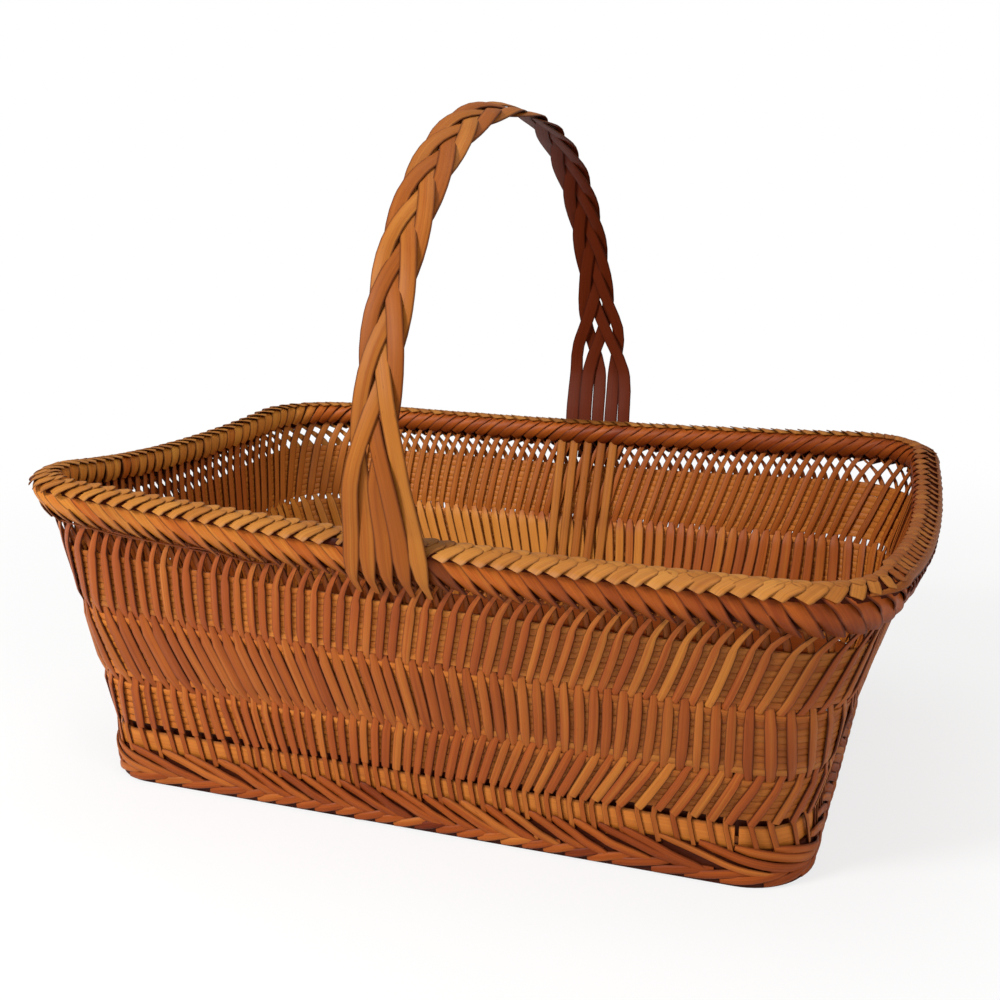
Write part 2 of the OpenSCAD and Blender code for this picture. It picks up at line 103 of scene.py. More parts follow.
def mix(a: float | np.ndarray, b: float | np.ndarray, share: float | np.ndarray) -> float | np.ndarray:
    """Value between two others."""
    return a + (b - a) * share


def ease(share: float | np.ndarray) -> float | np.ndarray:
    """Share from 0 to 1 with a soft start and end."""
    s = np.clip(share, 0.0, 1.0)
    return s * s * (3.0 - 2.0 * s)


def through(z: np.ndarray, heights: list[float], values: list[float]) -> np.ndarray:
    """Eased curve through values at given heights.

    Args:
        z: Heights to read it at.
        heights: Heights of the values, rising.
        values: Value at each height.

    Returns:
        One value for each height in z.
    """
    heights_a, values_a = np.asarray(heights), np.asarray(values)
    k = np.clip(np.searchsorted(heights_a, z, side="right") - 1, 0, len(heights) - 2)
    share = (z - heights_a[k]) / (heights_a[k + 1] - heights_a[k])
    return mix(values_a[k], values_a[k + 1], ease(share))


def smoothed(values: np.ndarray, times: int) -> np.ndarray:
    """Row of values with the inner ones drawn towards their neighbours.

    Args:
        values: The row, along its first axis.
        times: How often it is done.

    Returns:
        The smoother row, with the same ends.
    """
    values = values.copy()
    for _ in range(times):
        values[1:-1] = (values[:-2] + 2 * values[1:-1] + values[2:]) / 4
    return values


def srgb(red: int, green: int, blue: int) -> tuple[float, float, float, float]:
    """Linear colour of a screen colour given in 0 to 255."""
    parts = [c / 255 for c in (red, green, blue)]
    return tuple(c / 12.92 if c <= 0.04045 else ((c + 0.055) / 1.055) ** 2.4 for c in parts) + (1.0,)


@dataclass
class BasketShape:
    """Shape of the basket in millimetres, with places on it by station and height.

    Stations are counted once round from the front left corner. Heights are above the ground, before
    the sag and the tilt of the rim are added.

    Attributes:
        rim_length, rim_width, rim_height, rim_radius: Size of the rim's middle line and of its corners.
        border_height: Height of the plaited rim border.
        bow_long, bow_end: Outward bow of the rim's long sides and ends.
        sag_long, sag_end: Sag of the rim's long sides and ends.
        tilt_ends, tilt_sides, twist: Fall of the rim to the right and to the back, and its twist.
        foot_length, foot_width, foot_height, foot_radius: Size of the foot and of its corners.
        foot_left, foot_forward: How far the foot lies off the rim's middle.
        hoop_height: Height of the flat hoop round the foot.
        stakes_long, stakes_end, stakes_corner: Stations along a long side, an end and a corner.
        row_gap: Gap between two rows of weavers.
        rows: Rows in the low, the middle and the top band.
        open_band, open_more: Height of the open band, and how much higher it is at the front.
        lift_steps, band_steps: Pitches of rows below the lowest band and between two bands.
        pull_top, pull_most, pull_share: Top, strength and reach of the pull towards the sides' middles.
    """

    rim_length: float = 456.0
    rim_width: float = 318.0
    rim_height: float = 170.0
    rim_radius: float = 44.0
    border_height: float = 21.0
    bow_long: float = 4.0
    bow_end: float = 7.0
    sag_long: float = 3.5
    sag_end: float = 8.0
    tilt_ends: float = 5.0
    tilt_sides: float = 1.8
    twist: float = 5.0
    foot_length: float = 399.0
    foot_width: float = 265.0
    foot_height: float = 32.5
    foot_radius: float = 31.5
    foot_left: float = 6.0
    foot_forward: float = 2.0
    hoop_height: float = 13.0
    stakes_long: int = 48
    stakes_end: int = 28
    stakes_corner: int = 6
    row_gap: float = 0.8
    rows: tuple[int, int, int] = (6, 9, 9)
    open_band: float = 12.5
    open_more: float = 4.0
    lift_steps: float = 1.5
    band_steps: float = 2.0
    pull_top: float = 130.0
    pull_most: float = 0.15
    pull_share: float = 0.66

    def __post_init__(self) -> None:
        """Works out the heights of the rows and of the crossings."""
        self.half = self.stakes_long + self.stakes_end + 2 * self.stakes_corner
        self.stations = 2 * self.half
        top_row = self.rim_height - self.border_height - self.open_band
        steps = self.lift_steps + sum(self.rows) - 3 + 2 * self.band_steps
        self.pitch = (top_row - self.foot_height) / steps
        self.weaver_height = self.pitch - self.row_gap
        self.low = self.foot_height + self.lift_steps * self.pitch
        self.mid = self.low + (self.rows[0] - 1 + self.band_steps) * self.pitch
        self.top = self.mid + (self.rows[1] - 1 + self.band_steps) * self.pitch
        self.low_end = self.low + (self.rows[0] - 1) * self.pitch + self.weaver_height / 2
        self.mid_end = self.mid + (self.rows[1] - 1) * self.pitch + self.weaver_height / 2
        self.top_end = top_row + self.weaver_height / 2
        self.cross_low = self.mid - self.band_steps * self.pitch / 2
        self.cross_high = self.top - self.band_steps * self.pitch / 2
        self.lean_rise = self.cross_high - self.cross_low
        self.hoop_bottom = self.foot_height - self.hoop_height
        self.border_foot = self.rim_height - self.border_height

    def outline(self, q: np.ndarray, length: float, width: float, radius: float,
                bow_long: float, bow_end: float) -> np.ndarray:
        """Rounded rectangle with bowed sides.

        Args:
            q: Stations.
            length: Length over the sides' ends.
            width: Width over the sides' ends.
            radius: Corner radius.
            bow_long: Bow of a long side.
            bow_end: Bow of an end side.

        Returns:
            Points in the plane, one for each station.
        """
        m = np.mod(q, self.stations)
        turn = np.where(m < self.half, 1.0, -1.0)
        p = np.where(m < self.half, m, m - self.half)
        a, b = length / 2, width / 2
        c1 = self.stakes_long + self.stakes_corner
        c2 = c1 + self.stakes_end
        s_long = 2 * p / self.stakes_long - 1
        s_end = 2 * (p - c1) / self.stakes_end - 1
        t1 = np.pi / 2 * (p - self.stakes_long) / self.stakes_corner
        t2 = np.pi / 2 * (p - c2) / self.stakes_corner
        cases = [p < self.stakes_long, p < c1, p < c2]
        x = np.select(cases, [s_long * (a - radius), a - radius + radius * np.sin(t1),
                              a + bow_end * (1 - s_end ** 2)], a - radius + radius * np.cos(t2))
        y = np.select(cases, [-b - bow_long * (1 - s_long ** 2), -b + radius - radius * np.cos(t1),
                              s_end * (b - radius)], b - radius + radius * np.sin(t2))
        return np.stack([turn * x, turn * y], axis=-1)

    def shares(self, points: np.ndarray) -> tuple[np.ndarray, np.ndarray]:
        """How far places lie to the right and to the back, from -1 to 1 over the rim."""
        return 2 * points[..., 0] / self.rim_length, 2 * points[..., 1] / self.rim_width

    def sag(self, q: np.ndarray) -> np.ndarray:
        """Sag of the rim.

        Args:
            q: Stations.

        Returns:
            Millimetres that the rim hangs down at each station.
        """
        p = np.mod(q, self.half)
        c1 = self.stakes_long + self.stakes_corner
        s_long = 2 * p / self.stakes_long - 1
        s_end = 2 * (p - c1) / self.stakes_end - 1
        on_end = (p >= c1) & (p < c1 + self.stakes_end)
        return np.select([p < self.stakes_long, on_end],
                         [self.sag_long * (1 - s_long ** 2), self.sag_end * (1 - s_end ** 2)], 0.0)

    def rim_plan(self, q: np.ndarray) -> np.ndarray:
        """Middle of the rim in plan."""
        return self.outline(q, self.rim_length, self.rim_width, self.rim_radius, self.bow_long, self.bow_end)

    def foot_plan(self, q: np.ndarray) -> np.ndarray:
        """Middle of the foot in plan."""
        plan = self.outline(q, self.foot_length, self.foot_width, self.foot_radius, 0.0, 0.0)
        return plan - np.array([self.foot_left, self.foot_forward])

    def crest(self, q: np.ndarray) -> np.ndarray:
        """Height of the rim's top at each station."""
        x, y = self.shares(self.rim_plan(q))
        return self.rim_height - self.sag(q) - self.tilt_ends * x - self.tilt_sides * y + self.twist * x * y

    def below_crest(self, q: np.ndarray, depth: float | np.ndarray) -> np.ndarray:
        """Height to give to the wall for a place at a depth below the rim's top."""
        return self.rim_height - depth * (self.rim_height - self.foot_height) / (self.crest(q) - self.foot_height)

    def middle(self, q: np.ndarray, z: np.ndarray) -> np.ndarray:
        """Middle of the wall.

        Args:
            q: Stations.
            z: Heights.

        Returns:
            One point for each station and height.
        """
        q, z = np.broadcast_arrays(np.asarray(q, float), np.asarray(z, float))
        share = np.maximum(z - self.foot_height, 0.0) / (self.rim_height - self.foot_height)
        plan = mix(self.foot_plan(q), self.rim_plan(q), share[..., None])
        height = np.where(z <= self.foot_height, z, mix(self.foot_height, self.crest(q), share))
        return np.concatenate([plan, height[..., None]], axis=-1)

    def along(self, q: np.ndarray, z: np.ndarray) -> np.ndarray:
        """Direction onwards round the basket, in millimetres for each station."""
        step = 0.25
        return (self.middle(q + step, z) - self.middle(q - step, z)) / (2 * step)

    def normal(self, q: np.ndarray, z: np.ndarray) -> np.ndarray:
        """Outward normal of the wall.

        Args:
            q: Stations.
            z: Heights.

        Returns:
            One direction for each station and height.
        """
        above_foot = np.maximum(z, self.foot_height)
        rise = self.middle(q, above_foot + self.pitch) - self.middle(q, above_foot)
        up = np.where((np.asarray(z) < self.foot_height)[..., None], np.array([0.0, 0.0, 1.0]), unit(rise))
        return unit(np.cross(self.along(q, z), up))

    def place(self, q: np.ndarray, z: np.ndarray, off: np.ndarray) -> np.ndarray:
        """Point at an offset from the middle of the wall, outwards."""
        q, z, off = np.broadcast_arrays(*(np.asarray(v, float) for v in (q, z, off)))
        return self.middle(q, z) + off[..., None] * self.normal(q, z)

    def leaning(self, lean: Lean, i: np.ndarray, z: np.ndarray) -> np.ndarray:
        """Station of a stake at a height."""
        steps = (z - self.cross_low) / self.lean_rise
        return i + steps if lean is Lean.FORWARD else i + 0.5 - steps

    def drawn(self, q: np.ndarray, z: np.ndarray) -> np.ndarray:
        """Stations with the pull of the strips towards the middle of each side, which grows down the wall.

        Args:
            q: Stations without the pull.
            z: Heights.

        Returns:
            The stations where the strips lie.
        """
        p = np.mod(q, self.half)
        long_half, end_half = self.stakes_long / 2, self.stakes_end / 2
        corner_half = self.stakes_corner / 2
        p = np.where(p > self.half - corner_half, p - self.half, p)
        on_long = p < self.stakes_long + corner_half
        from_middle = np.where(on_long, p - long_half, p - (self.stakes_long + self.stakes_corner + end_half))
        reach = np.where(on_long, long_half, end_half) + corner_half
        free = self.pull_share * reach
        back = free * (reach - np.abs(from_middle)) / (reach - free)
        pull = np.sign(from_middle) * np.minimum(np.abs(from_middle), np.maximum(back, 0.0))
        depth = np.clip((self.pull_top - z) / (self.pull_top - self.foot_height), 0.0, 1.0)
        return q - self.pull_most * depth ** 2 * pull

    def opened(self, q: np.ndarray) -> np.ndarray:
        """Share of the open band's extra height at each station, 1 at the front and 0 at the back."""
        return ease((0.6 - self.shares(self.rim_plan(q))[1]) / 1.2)

    def side_start(self, side: Side) -> int:
        """First station of a side."""
        k = side.value
        return (k // 2) * self.half + (k % 2) * (self.stakes_long + self.stakes_corner)

    def side_count(self, side: Side) -> int:
        """Stations along the straight part of a side."""
        return self.stakes_long if side.value % 2 == 0 else self.stakes_end


@dataclass
class StripRun:
    """Group of strips that share their number of rings. Lengths are in millimetres.

    Attributes:
        points: Middle line of each strip, strips by rings by three.
        normals: Direction that the skin side of each strip faces.
        widths: Width at each ring.
        thicks: Thickness at each ring.
        tones: Tone of each strip, or at each of its rings, 0 dark to 1 pale.
        rolls: Turn about the strip's own line at each ring, in radians.
        crown: Rise of the middle of the skin side, as a share of the width.
        shades: Light that reaches each ring, 1 where it lies open.
        slants: Slant of the cut at each ring, as length along the strip for each unit across it.
    """

    points: np.ndarray
    normals: np.ndarray
    widths: np.ndarray | float
    thicks: np.ndarray | float
    tones: np.ndarray
    rolls: np.ndarray | float = 0.0
    crown: float = 0.05
    shades: np.ndarray | float = 1.0
    slants: np.ndarray | float = 0.0


class StripBlank:
    """Straight split strip, modelled once for a number of rings and then laid along paths."""

    _made: dict[int, "StripBlank"] = {}

    def __init__(self, rings: int) -> None:
        """Models a strip of unit length and keeps its corners and faces.

        Args:
            rings: Sections along the strip, both ends among them.
        """
        wide, bevel = 4.0, 0.28
        bpy.ops.object.select_all(action="DESELECT")
        bpy.ops.mesh.primitive_cube_add(size=1.0, location=(0.5, 0.0, 0.0))
        blank = bpy.context.active_object
        blank.scale = (1.0, wide, 1.0)
        bpy.ops.object.transform_apply(location=True, rotation=True, scale=True)
        bpy.ops.object.mode_set(mode="EDIT")
        bpy.ops.mesh.select_mode(type="EDGE")
        self._pick_long_edges(blank)
        bpy.ops.mesh.bevel(offset=bevel, segments=1, affect="EDGES")
        bpy.ops.mesh.select_all(action="SELECT")
        bpy.ops.mesh.bisect(plane_co=(0.0, 0.0, 0.0), plane_no=(0.0, 1.0, 0.0))
        self._pick_long_edges(blank)
        bpy.ops.mesh.subdivide(number_cuts=rings - 2)
        bpy.ops.object.mode_set(mode="OBJECT")
        mesh = blank.data
        corners = np.array([v.co for v in mesh.vertices])
        self.ring = np.rint(corners[:, 0] * (rings - 1)).astype(int)
        self.across = corners[:, 1] / wide
        self.depth = corners[:, 2]
        self.loop_totals = np.array([len(f.vertices) for f in mesh.polygons])
        self.loops = np.concatenate([np.array(f.vertices) for f in mesh.polygons])
        self.rings = rings
        bpy.data.objects.remove(blank)
        bpy.data.meshes.remove(mesh)

    @staticmethod
    def _pick_long_edges(blank: bpy.types.Object) -> None:
        """Selects the edges that run along the strip.

        Args:
            blank: The strip, in edit mode.
        """
        bpy.ops.mesh.select_all(action="DESELECT")
        bpy.ops.object.mode_set(mode="OBJECT")
        mesh = blank.data
        for edge in mesh.edges:
            a, b = (mesh.vertices[k].co for k in edge.vertices)
            edge.select = abs(a.x - b.x) > 0.5
        bpy.ops.object.mode_set(mode="EDIT")

    @classmethod
    def of(cls, rings: int) -> "StripBlank":
        """Blank for a number of rings, modelled on first use."""
        if rings not in cls._made:
            cls._made[rings] = cls(rings)
        return cls._made[rings]


@dataclass
class StripLayer:
    """Lays strips along their paths and joins them to one piece with a UV map and attributes.

    Attributes:
        rng: Random numbers.
        grain_spread: Length of grain that the strips are cut from, in millimetres.
        grain_slip: How far the grain moves sideways from strip to strip, for each unit along it.
        smooth_angle: Largest angle between two faces that are shaded smooth, in radians.
    """

    rng: np.random.Generator
    grain_spread: float = 4000.0
    grain_slip: float = 0.37
    smooth_angle: float = math.radians(52.0)

    def lay(self, name: str, runs: list[StripRun]) -> bpy.types.Object:
        """Makes one piece of all the strips of some runs.

        Args:
            name: Name of the piece.
            runs: Strips to lay.

        Returns:
            The new object, at the origin, with its place in its mesh.
        """
        parts = [self._bend(run) for run in runs]
        counts = np.cumsum([0] + [len(p["co"]) for p in parts])
        loops = np.concatenate([p["loops"] + n for p, n in zip(parts, counts)])
        totals = np.concatenate([p["totals"] for p in parts])
        mesh = bpy.data.meshes.new(name)
        mesh.vertices.add(int(counts[-1]))
        mesh.vertices.foreach_set("co", np.concatenate([p["co"] for p in parts]).ravel() * MM)
        mesh.loops.add(len(loops))
        mesh.loops.foreach_set("vertex_index", loops)
        mesh.polygons.add(len(totals))
        mesh.polygons.foreach_set("loop_start", np.concatenate([[0], np.cumsum(totals)[:-1]]))
        mesh.polygons.foreach_set("loop_total", totals)
        mesh.polygons.foreach_set("use_smooth", np.ones(len(totals), bool))
        mesh.update(calc_edges=True)
        uv = np.concatenate([p["uv"] for p in parts]) * MM
        mesh.uv_layers.new(name="strip").data.foreach_set("uv", uv[loops].ravel())
        for key in ATTRIBUTES:
            values = np.concatenate([p[key] for p in parts]).astype(np.float32)
            mesh.attributes.new(key, "FLOAT", "POINT").data.foreach_set("value", values)
        mesh.validate()
        piece = bpy.data.objects.new(name, mesh)
        bpy.context.scene.collection.objects.link(piece)
        bpy.ops.object.select_all(action="DESELECT")
        piece.select_set(True)
        bpy.context.view_layer.objects.active = piece
        bpy.ops.object.shade_smooth_by_angle(angle=self.smooth_angle)
        return piece

    def _bend(self, run: StripRun) -> dict[str, np.ndarray]:
        """Bends a blank along each path of a run.

        Args:
            run: Strips to lay.

        Returns:
            Corners, faces, UV and attributes of all its strips.
        """
        count, rings = run.points.shape[:2]
        blank = StripBlank.of(rings)

        def spread(values: np.ndarray | float) -> np.ndarray:
            """Values of the rings at the blank's corners."""
            return np.broadcast_to(np.asarray(values, float), (count, rings))[:, blank.ring]

        steps = np.diff(run.points, axis=1)
        line = unit(np.concatenate([steps[:, :1], (steps[:, 1:] + steps[:, :-1]) / 2, steps[:, -1:]], axis=1))
        face = unit(run.normals - np.sum(run.normals * line, axis=-1, keepdims=True) * line)
        across = np.cross(line, face)
        roll = np.broadcast_to(np.asarray(run.rolls, float), (count, rings))[..., None]
        across, face = (across * np.cos(roll) + face * np.sin(roll), face * np.cos(roll) - across * np.sin(roll))
        widths = spread(run.widths)
        sideways = blank.across * widths
        rise = blank.depth * spread(run.thicks) + run.crown * widths * (1 - (2 * blank.across) ** 2)
        onwards = spread(run.slants) * sideways
        co = run.points[:, blank.ring] + across[:, blank.ring] * sideways[..., None] \
            + face[:, blank.ring] * rise[..., None] + line[:, blank.ring] * onwards[..., None]
        lengths = np.cumsum(np.linalg.norm(steps, axis=-1), axis=1)
        start = self.rng.uniform(0.0, self.grain_spread, (count, 1))
        along = np.concatenate([np.zeros((count, 1)), lengths], axis=1) + start
        uv = np.stack([along[:, blank.ring], sideways + start * self.grain_slip], axis=-1)
        return {
            "co": co.reshape(-1, 3),
            "uv": uv.reshape(-1, 2),
            "loops": (blank.loops[None, :] + len(blank.ring) * np.arange(count)[:, None]).ravel(),
            "totals": np.tile(blank.loop_totals, count),
            "tone": spread(run.tones.reshape(count, -1)).reshape(-1),
            "span": np.tile(blank.across * 2, count),
            "skin": np.tile(np.sign(blank.depth), count),
            "shade": spread(run.shades).reshape(-1),
        }


class Signal:
    """Number in a shader. Python's operators on it add Math nodes."""

    def __init__(self, bench: "NodeBench", socket: bpy.types.NodeSocket) -> None:
        """Wraps an output socket."""
        self.bench = bench
        self.socket = socket

    def _math(self, operation: str, *values: "Signal | float") -> "Signal":
        """Adds one Math node on some values."""
        node = self.bench.add("ShaderNodeMath", {"operation": operation}, dict(enumerate(values)))
        return Signal(self.bench, node.outputs[0])

    def __add__(self, other: "Signal | float") -> "Signal":
        """Sum."""
        return self._math("ADD", self, other)

    __radd__ = __add__

    def __sub__(self, other: "Signal | float") -> "Signal":
        """Difference."""
        return self._math("SUBTRACT", self, other)

    def __rsub__(self, other: float) -> "Signal":
        """Difference from a number."""
        return self._math("SUBTRACT", other, self)

    def __mul__(self, other: "Signal | float") -> "Signal":
        """Product."""
        return self._math("MULTIPLY", self, other)

    __rmul__ = __mul__

    def __abs__(self) -> "Signal":
        """Size without sign."""
        return self._math("ABSOLUTE", self)

    def power(self, exponent: float) -> "Signal":
        """Power with a fixed exponent."""
        return self._math("POWER", self, exponent)

    def above(self, limit: float) -> "Signal":
        """One where the signal is above a limit."""
        return self._math("GREATER_THAN", self, limit)

    def between(self, low: float, high: float) -> "Signal":
        """Soft step from 0 at low to 1 at high."""
        settings = {"interpolation_type": "SMOOTHSTEP", "clamp": True}
        inputs = {"Value": self, "From Min": low, "From Max": high}
        return Signal(self.bench, self.bench.add("ShaderNodeMapRange", settings, inputs).outputs[0])


class NodeBench:
    """Node tree of a material or of the world, with the few kinds of step that the finishes need."""

    def __init__(self, owner: bpy.types.Material | bpy.types.World) -> None:
        """Turns on the owner's nodes."""
        owner.use_nodes = True
        self.owner = owner
        self.tree = owner.node_tree

    @property
    def shader(self) -> bpy.types.Node:
        """Main shader of a material."""
        return self.tree.nodes["Principled BSDF"]

    def _plug(self, socket: bpy.types.NodeSocket, value: Signal | bpy.types.NodeSocket | float | tuple) -> None:
        """Links an input to a signal or a socket, or gives it a plain value.

        Args:
            socket: The input.
            value: What it gets.
        """
        source = value.socket if isinstance(value, Signal) else value
        if isinstance(source, bpy.types.NodeSocket):
            self.tree.links.new(source, socket)
        else:
            socket.default_value = source

    def add(self, kind: str, settings: dict | None = None, inputs: dict | None = None) -> bpy.types.Node:
        """Adds a node.

        Args:
            kind: Type of the node.
            settings: Its properties, set first. "stops" gives a ramp's places and colours.
            inputs: Values or links by the socket's name or number.

        Returns:
            The new node.
        """
        node = self.tree.nodes.new(kind)
        for key, value in (settings or {}).items():
            if key == "stops":
                while len(node.color_ramp.elements) < len(value):
                    node.color_ramp.elements.new(0.5)
                for element, (place, colour) in zip(node.color_ramp.elements, value):
                    element.position, element.color = place, colour
            else:
                setattr(node, key, value)
        for key, value in (inputs or {}).items():
            self._plug(node.inputs[key], value)
        return node

    def attribute(self, name: str) -> Signal:
        """Number that the strips carry."""
        node = self.add("ShaderNodeAttribute", {"attribute_name": name, "attribute_type": "GEOMETRY"})
        return Signal(self, node.outputs["Fac"])

    def strip_coordinates(self, scale: tuple[float, float, float]) -> bpy.types.NodeSocket:
        """Place along and across the strip, scaled."""
        uv = self.add("ShaderNodeUVMap", {"uv_map": "strip"}).outputs[0]
        return self.add("ShaderNodeMapping", {}, {"Vector": uv, "Scale": scale}).outputs[0]

    def object_coordinates(self) -> bpy.types.NodeSocket:
        """Place in the basket."""
        return self.add("ShaderNodeTexCoord").outputs["Object"]

    def noise(self, vector: bpy.types.NodeSocket, scale: float, detail: float = 2.0) -> Signal:
        """Soft noise from 0 to 1."""
        inputs = {"Vector": vector, "Scale": scale, "Detail": detail, "Roughness": 0.55}
        return Signal(self, self.add("ShaderNodeTexNoise", {}, inputs).outputs["Fac"])

    def ramp(self, share: Signal, stops: list[tuple[float, tuple]]) -> bpy.types.NodeSocket:
        """Colour along a row of stops."""
        return self.add("ShaderNodeValToRGB", {"stops": stops}, {0: share}).outputs["Color"]

    def blend(self, share: Signal | float, low: bpy.types.NodeSocket | tuple,
              high: bpy.types.NodeSocket | tuple) -> bpy.types.NodeSocket:
        """Mixes two colours."""
        settings = {"data_type": "RGBA", "clamp_factor": True}
        return self.add("ShaderNodeMix", settings, {0: share, 6: low, 7: high}).outputs[2]

    def dimmed(self, colour: bpy.types.NodeSocket, share: Signal) -> bpy.types.NodeSocket:
        """Colour times a number."""
        return self.add("ShaderNodeVectorMath", {"operation": "SCALE"}, {0: colour, "Scale": share}).outputs[0]

    def bump(self, height: Signal, strength: float, distance: float) -> None:
        """Gives the shader small bumps by a height, at most a distance high in metres."""
        inputs = {"Strength": strength, "Distance": distance, "Height": height}
        self.wire("Normal", self.add("ShaderNodeBump", {}, inputs).outputs[0])

    def wire(self, name: str, value: Signal | bpy.types.NodeSocket | float | tuple) -> None:
        """Sets or links one socket of the shader."""
        self._plug(self.shader.inputs[name], value)


@dataclass(frozen=True)
class StripFinish:
    """Varnished bamboo, as it looks on one kind of strip.

    Attributes:
        name: Name of the material.
        dark: Colour of the darkest strips.
        middle: Colour of most strips.
        pale: Colour of the palest strips.
        pith: Colour of the side away from the skin; on the handle it is painted shade.
        edge: Colour that the varnish takes along the edges, also used for the specks and for the painted shade.
        rough: Roughness of the skin.
        shine: Level of the skin's reflection.
        fibre: How much the fibres show in the colour.
        stain: How much the large stains show.
        pith_share: How much the side away from the skin takes the pith's colour.
        edge_share: How dark the two edges are, partly varnish gathered there and partly painted shade along the
            strips' sides.
        fine_grain, broad_grain, specks: Scales of the noise along and across the strips.
        cloud_scale: Scale of the large stains.
        broad_share, cloud_share: How much the broad grain and the large stains move the tone.
        speck_share: How dark the specks are.
        stops: Places of the three colours along the tones.
        shade_share: How dark a strip gets where no light reaches it.
        relief: Strength of the fine relief.
        relief_height: Height of the fine relief, in metres.
    """

    name: str
    dark: tuple = srgb(118, 46, 14)
    middle: tuple = srgb(168, 84, 26)
    pale: tuple = srgb(198, 122, 48)
    pith: tuple = srgb(136, 66, 22)
    edge: tuple = srgb(54, 14, 4)
    rough: float = 0.46
    shine: float = 0.14
    fibre: float = 0.34
    stain: float = 0.35
    pith_share: float = 0.8
    edge_share: float = 0.55
    fine_grain: tuple[float, float, float] = (14.0, 1700.0, 1.0)
    broad_grain: tuple[float, float, float] = (9.0, 420.0, 1.0)
    specks: tuple[float, float, float] = (160.0, 900.0, 1.0)
    cloud_scale: float = 17.0
    broad_share: float = 0.5
    cloud_share: float = 0.35
    speck_share: float = 0.45
    stops: tuple[float, float, float] = (0.08, 0.5, 0.92)
    shade_share: float = 0.8
    relief: float = 0.55
    relief_height: float = 0.00022

    def build(self) -> bpy.types.Material:
        """Makes the material from what the strips carry and from noise along them.

        Returns:
            The new material.
        """
        bench = NodeBench(bpy.data.materials.new(self.name))
        tone, span, skin, shade = (bench.attribute(key) for key in ATTRIBUTES)
        fine = bench.noise(bench.strip_coordinates(self.fine_grain), 1.0, 3.0)
        broad = bench.noise(bench.strip_coordinates(self.broad_grain), 1.0)
        cloud = bench.noise(bench.object_coordinates(), self.cloud_scale, 3.0)
        speck = bench.noise(bench.strip_coordinates(self.specks), 1.0)
        shifted = tone + (broad - 0.5) * self.broad_share + (cloud - 0.5) * self.cloud_share
        colour = bench.ramp(shifted, list(zip(self.stops, (self.dark, self.middle, self.pale))))
        colour = bench.blend(cloud.between(0.52, 0.72) * self.stain, colour, self.dark)
        colour = bench.blend(speck.between(0.66, 0.8) * self.speck_share, colour, self.edge)
        # The side away from the skin takes the pith colour, which on the handle is painted shade.
        colour = bench.blend((1.0 - skin.above(-0.5)) * self.pith_share, colour, self.pith)
        # Dark edges: partly varnish gathered there, partly painted shade along the strips' sides.
        colour = bench.blend(abs(span).between(0.72, 1.0) * self.edge_share, colour, self.edge)
        colour = bench.dimmed(colour, (fine - 0.5) * (2.2 * self.fibre) + 1.0)
        colour = bench.blend((1.0 - shade) * self.shade_share, colour, self.edge)
        bench.wire("Base Color", colour)
        bench.wire("Roughness", self.rough + (fine - 0.5) * 0.22 + (cloud - 0.5) * 0.15)
        bench.wire("Specular IOR Level", self.shine)
        bench.bump(fine * 0.6 + broad * 0.8 + speck * 0.3, self.relief, self.relief_height)
        return bench.owner


@dataclass(frozen=True)
class CoreFinish:
    """Dull bundle of strips inside the rim and the foot, which shows only through gaps.

    Attributes:
        name: Name of the material.
        colour: Its main colour.
        line: Colour of the lines between the strips.
        cloud: Colour of the paler places.
        rough: Roughness.
        shine: Level of the reflection.
    """

    name: str
    colour: tuple = srgb(74, 26, 8)
    line: tuple = srgb(34, 10, 4)
    cloud: tuple = srgb(96, 42, 14)
    rough: float = 0.6
    shine: float = 0.15

    def build(self) -> bpy.types.Material:
        """Makes the material from noise that is drawn out round the basket.

        Returns:
            The new material.
        """
        bench = NodeBench(bpy.data.materials.new(self.name))
        place = bench.object_coordinates()
        flat = bench.add("ShaderNodeMapping", {}, {"Vector": place, "Scale": (1.0, 1.0, 14.0)}).outputs[0]
        lines = bench.noise(flat, 60.0, 3.0)
        cloud = bench.noise(place, 22.0, 3.0)
        colour = bench.blend(lines.between(0.35, 0.7) * 0.6, self.colour, self.line)
        colour = bench.blend(cloud.between(0.5, 0.75) * 0.5, colour, self.cloud)
        bench.wire("Base Color", colour)
        bench.wire("Roughness", self.rough + (lines - 0.5) * 0.3)
        bench.wire("Specular IOR Level", self.shine)
        bench.bump(lines, 0.6, 0.0004)
        return bench.owner


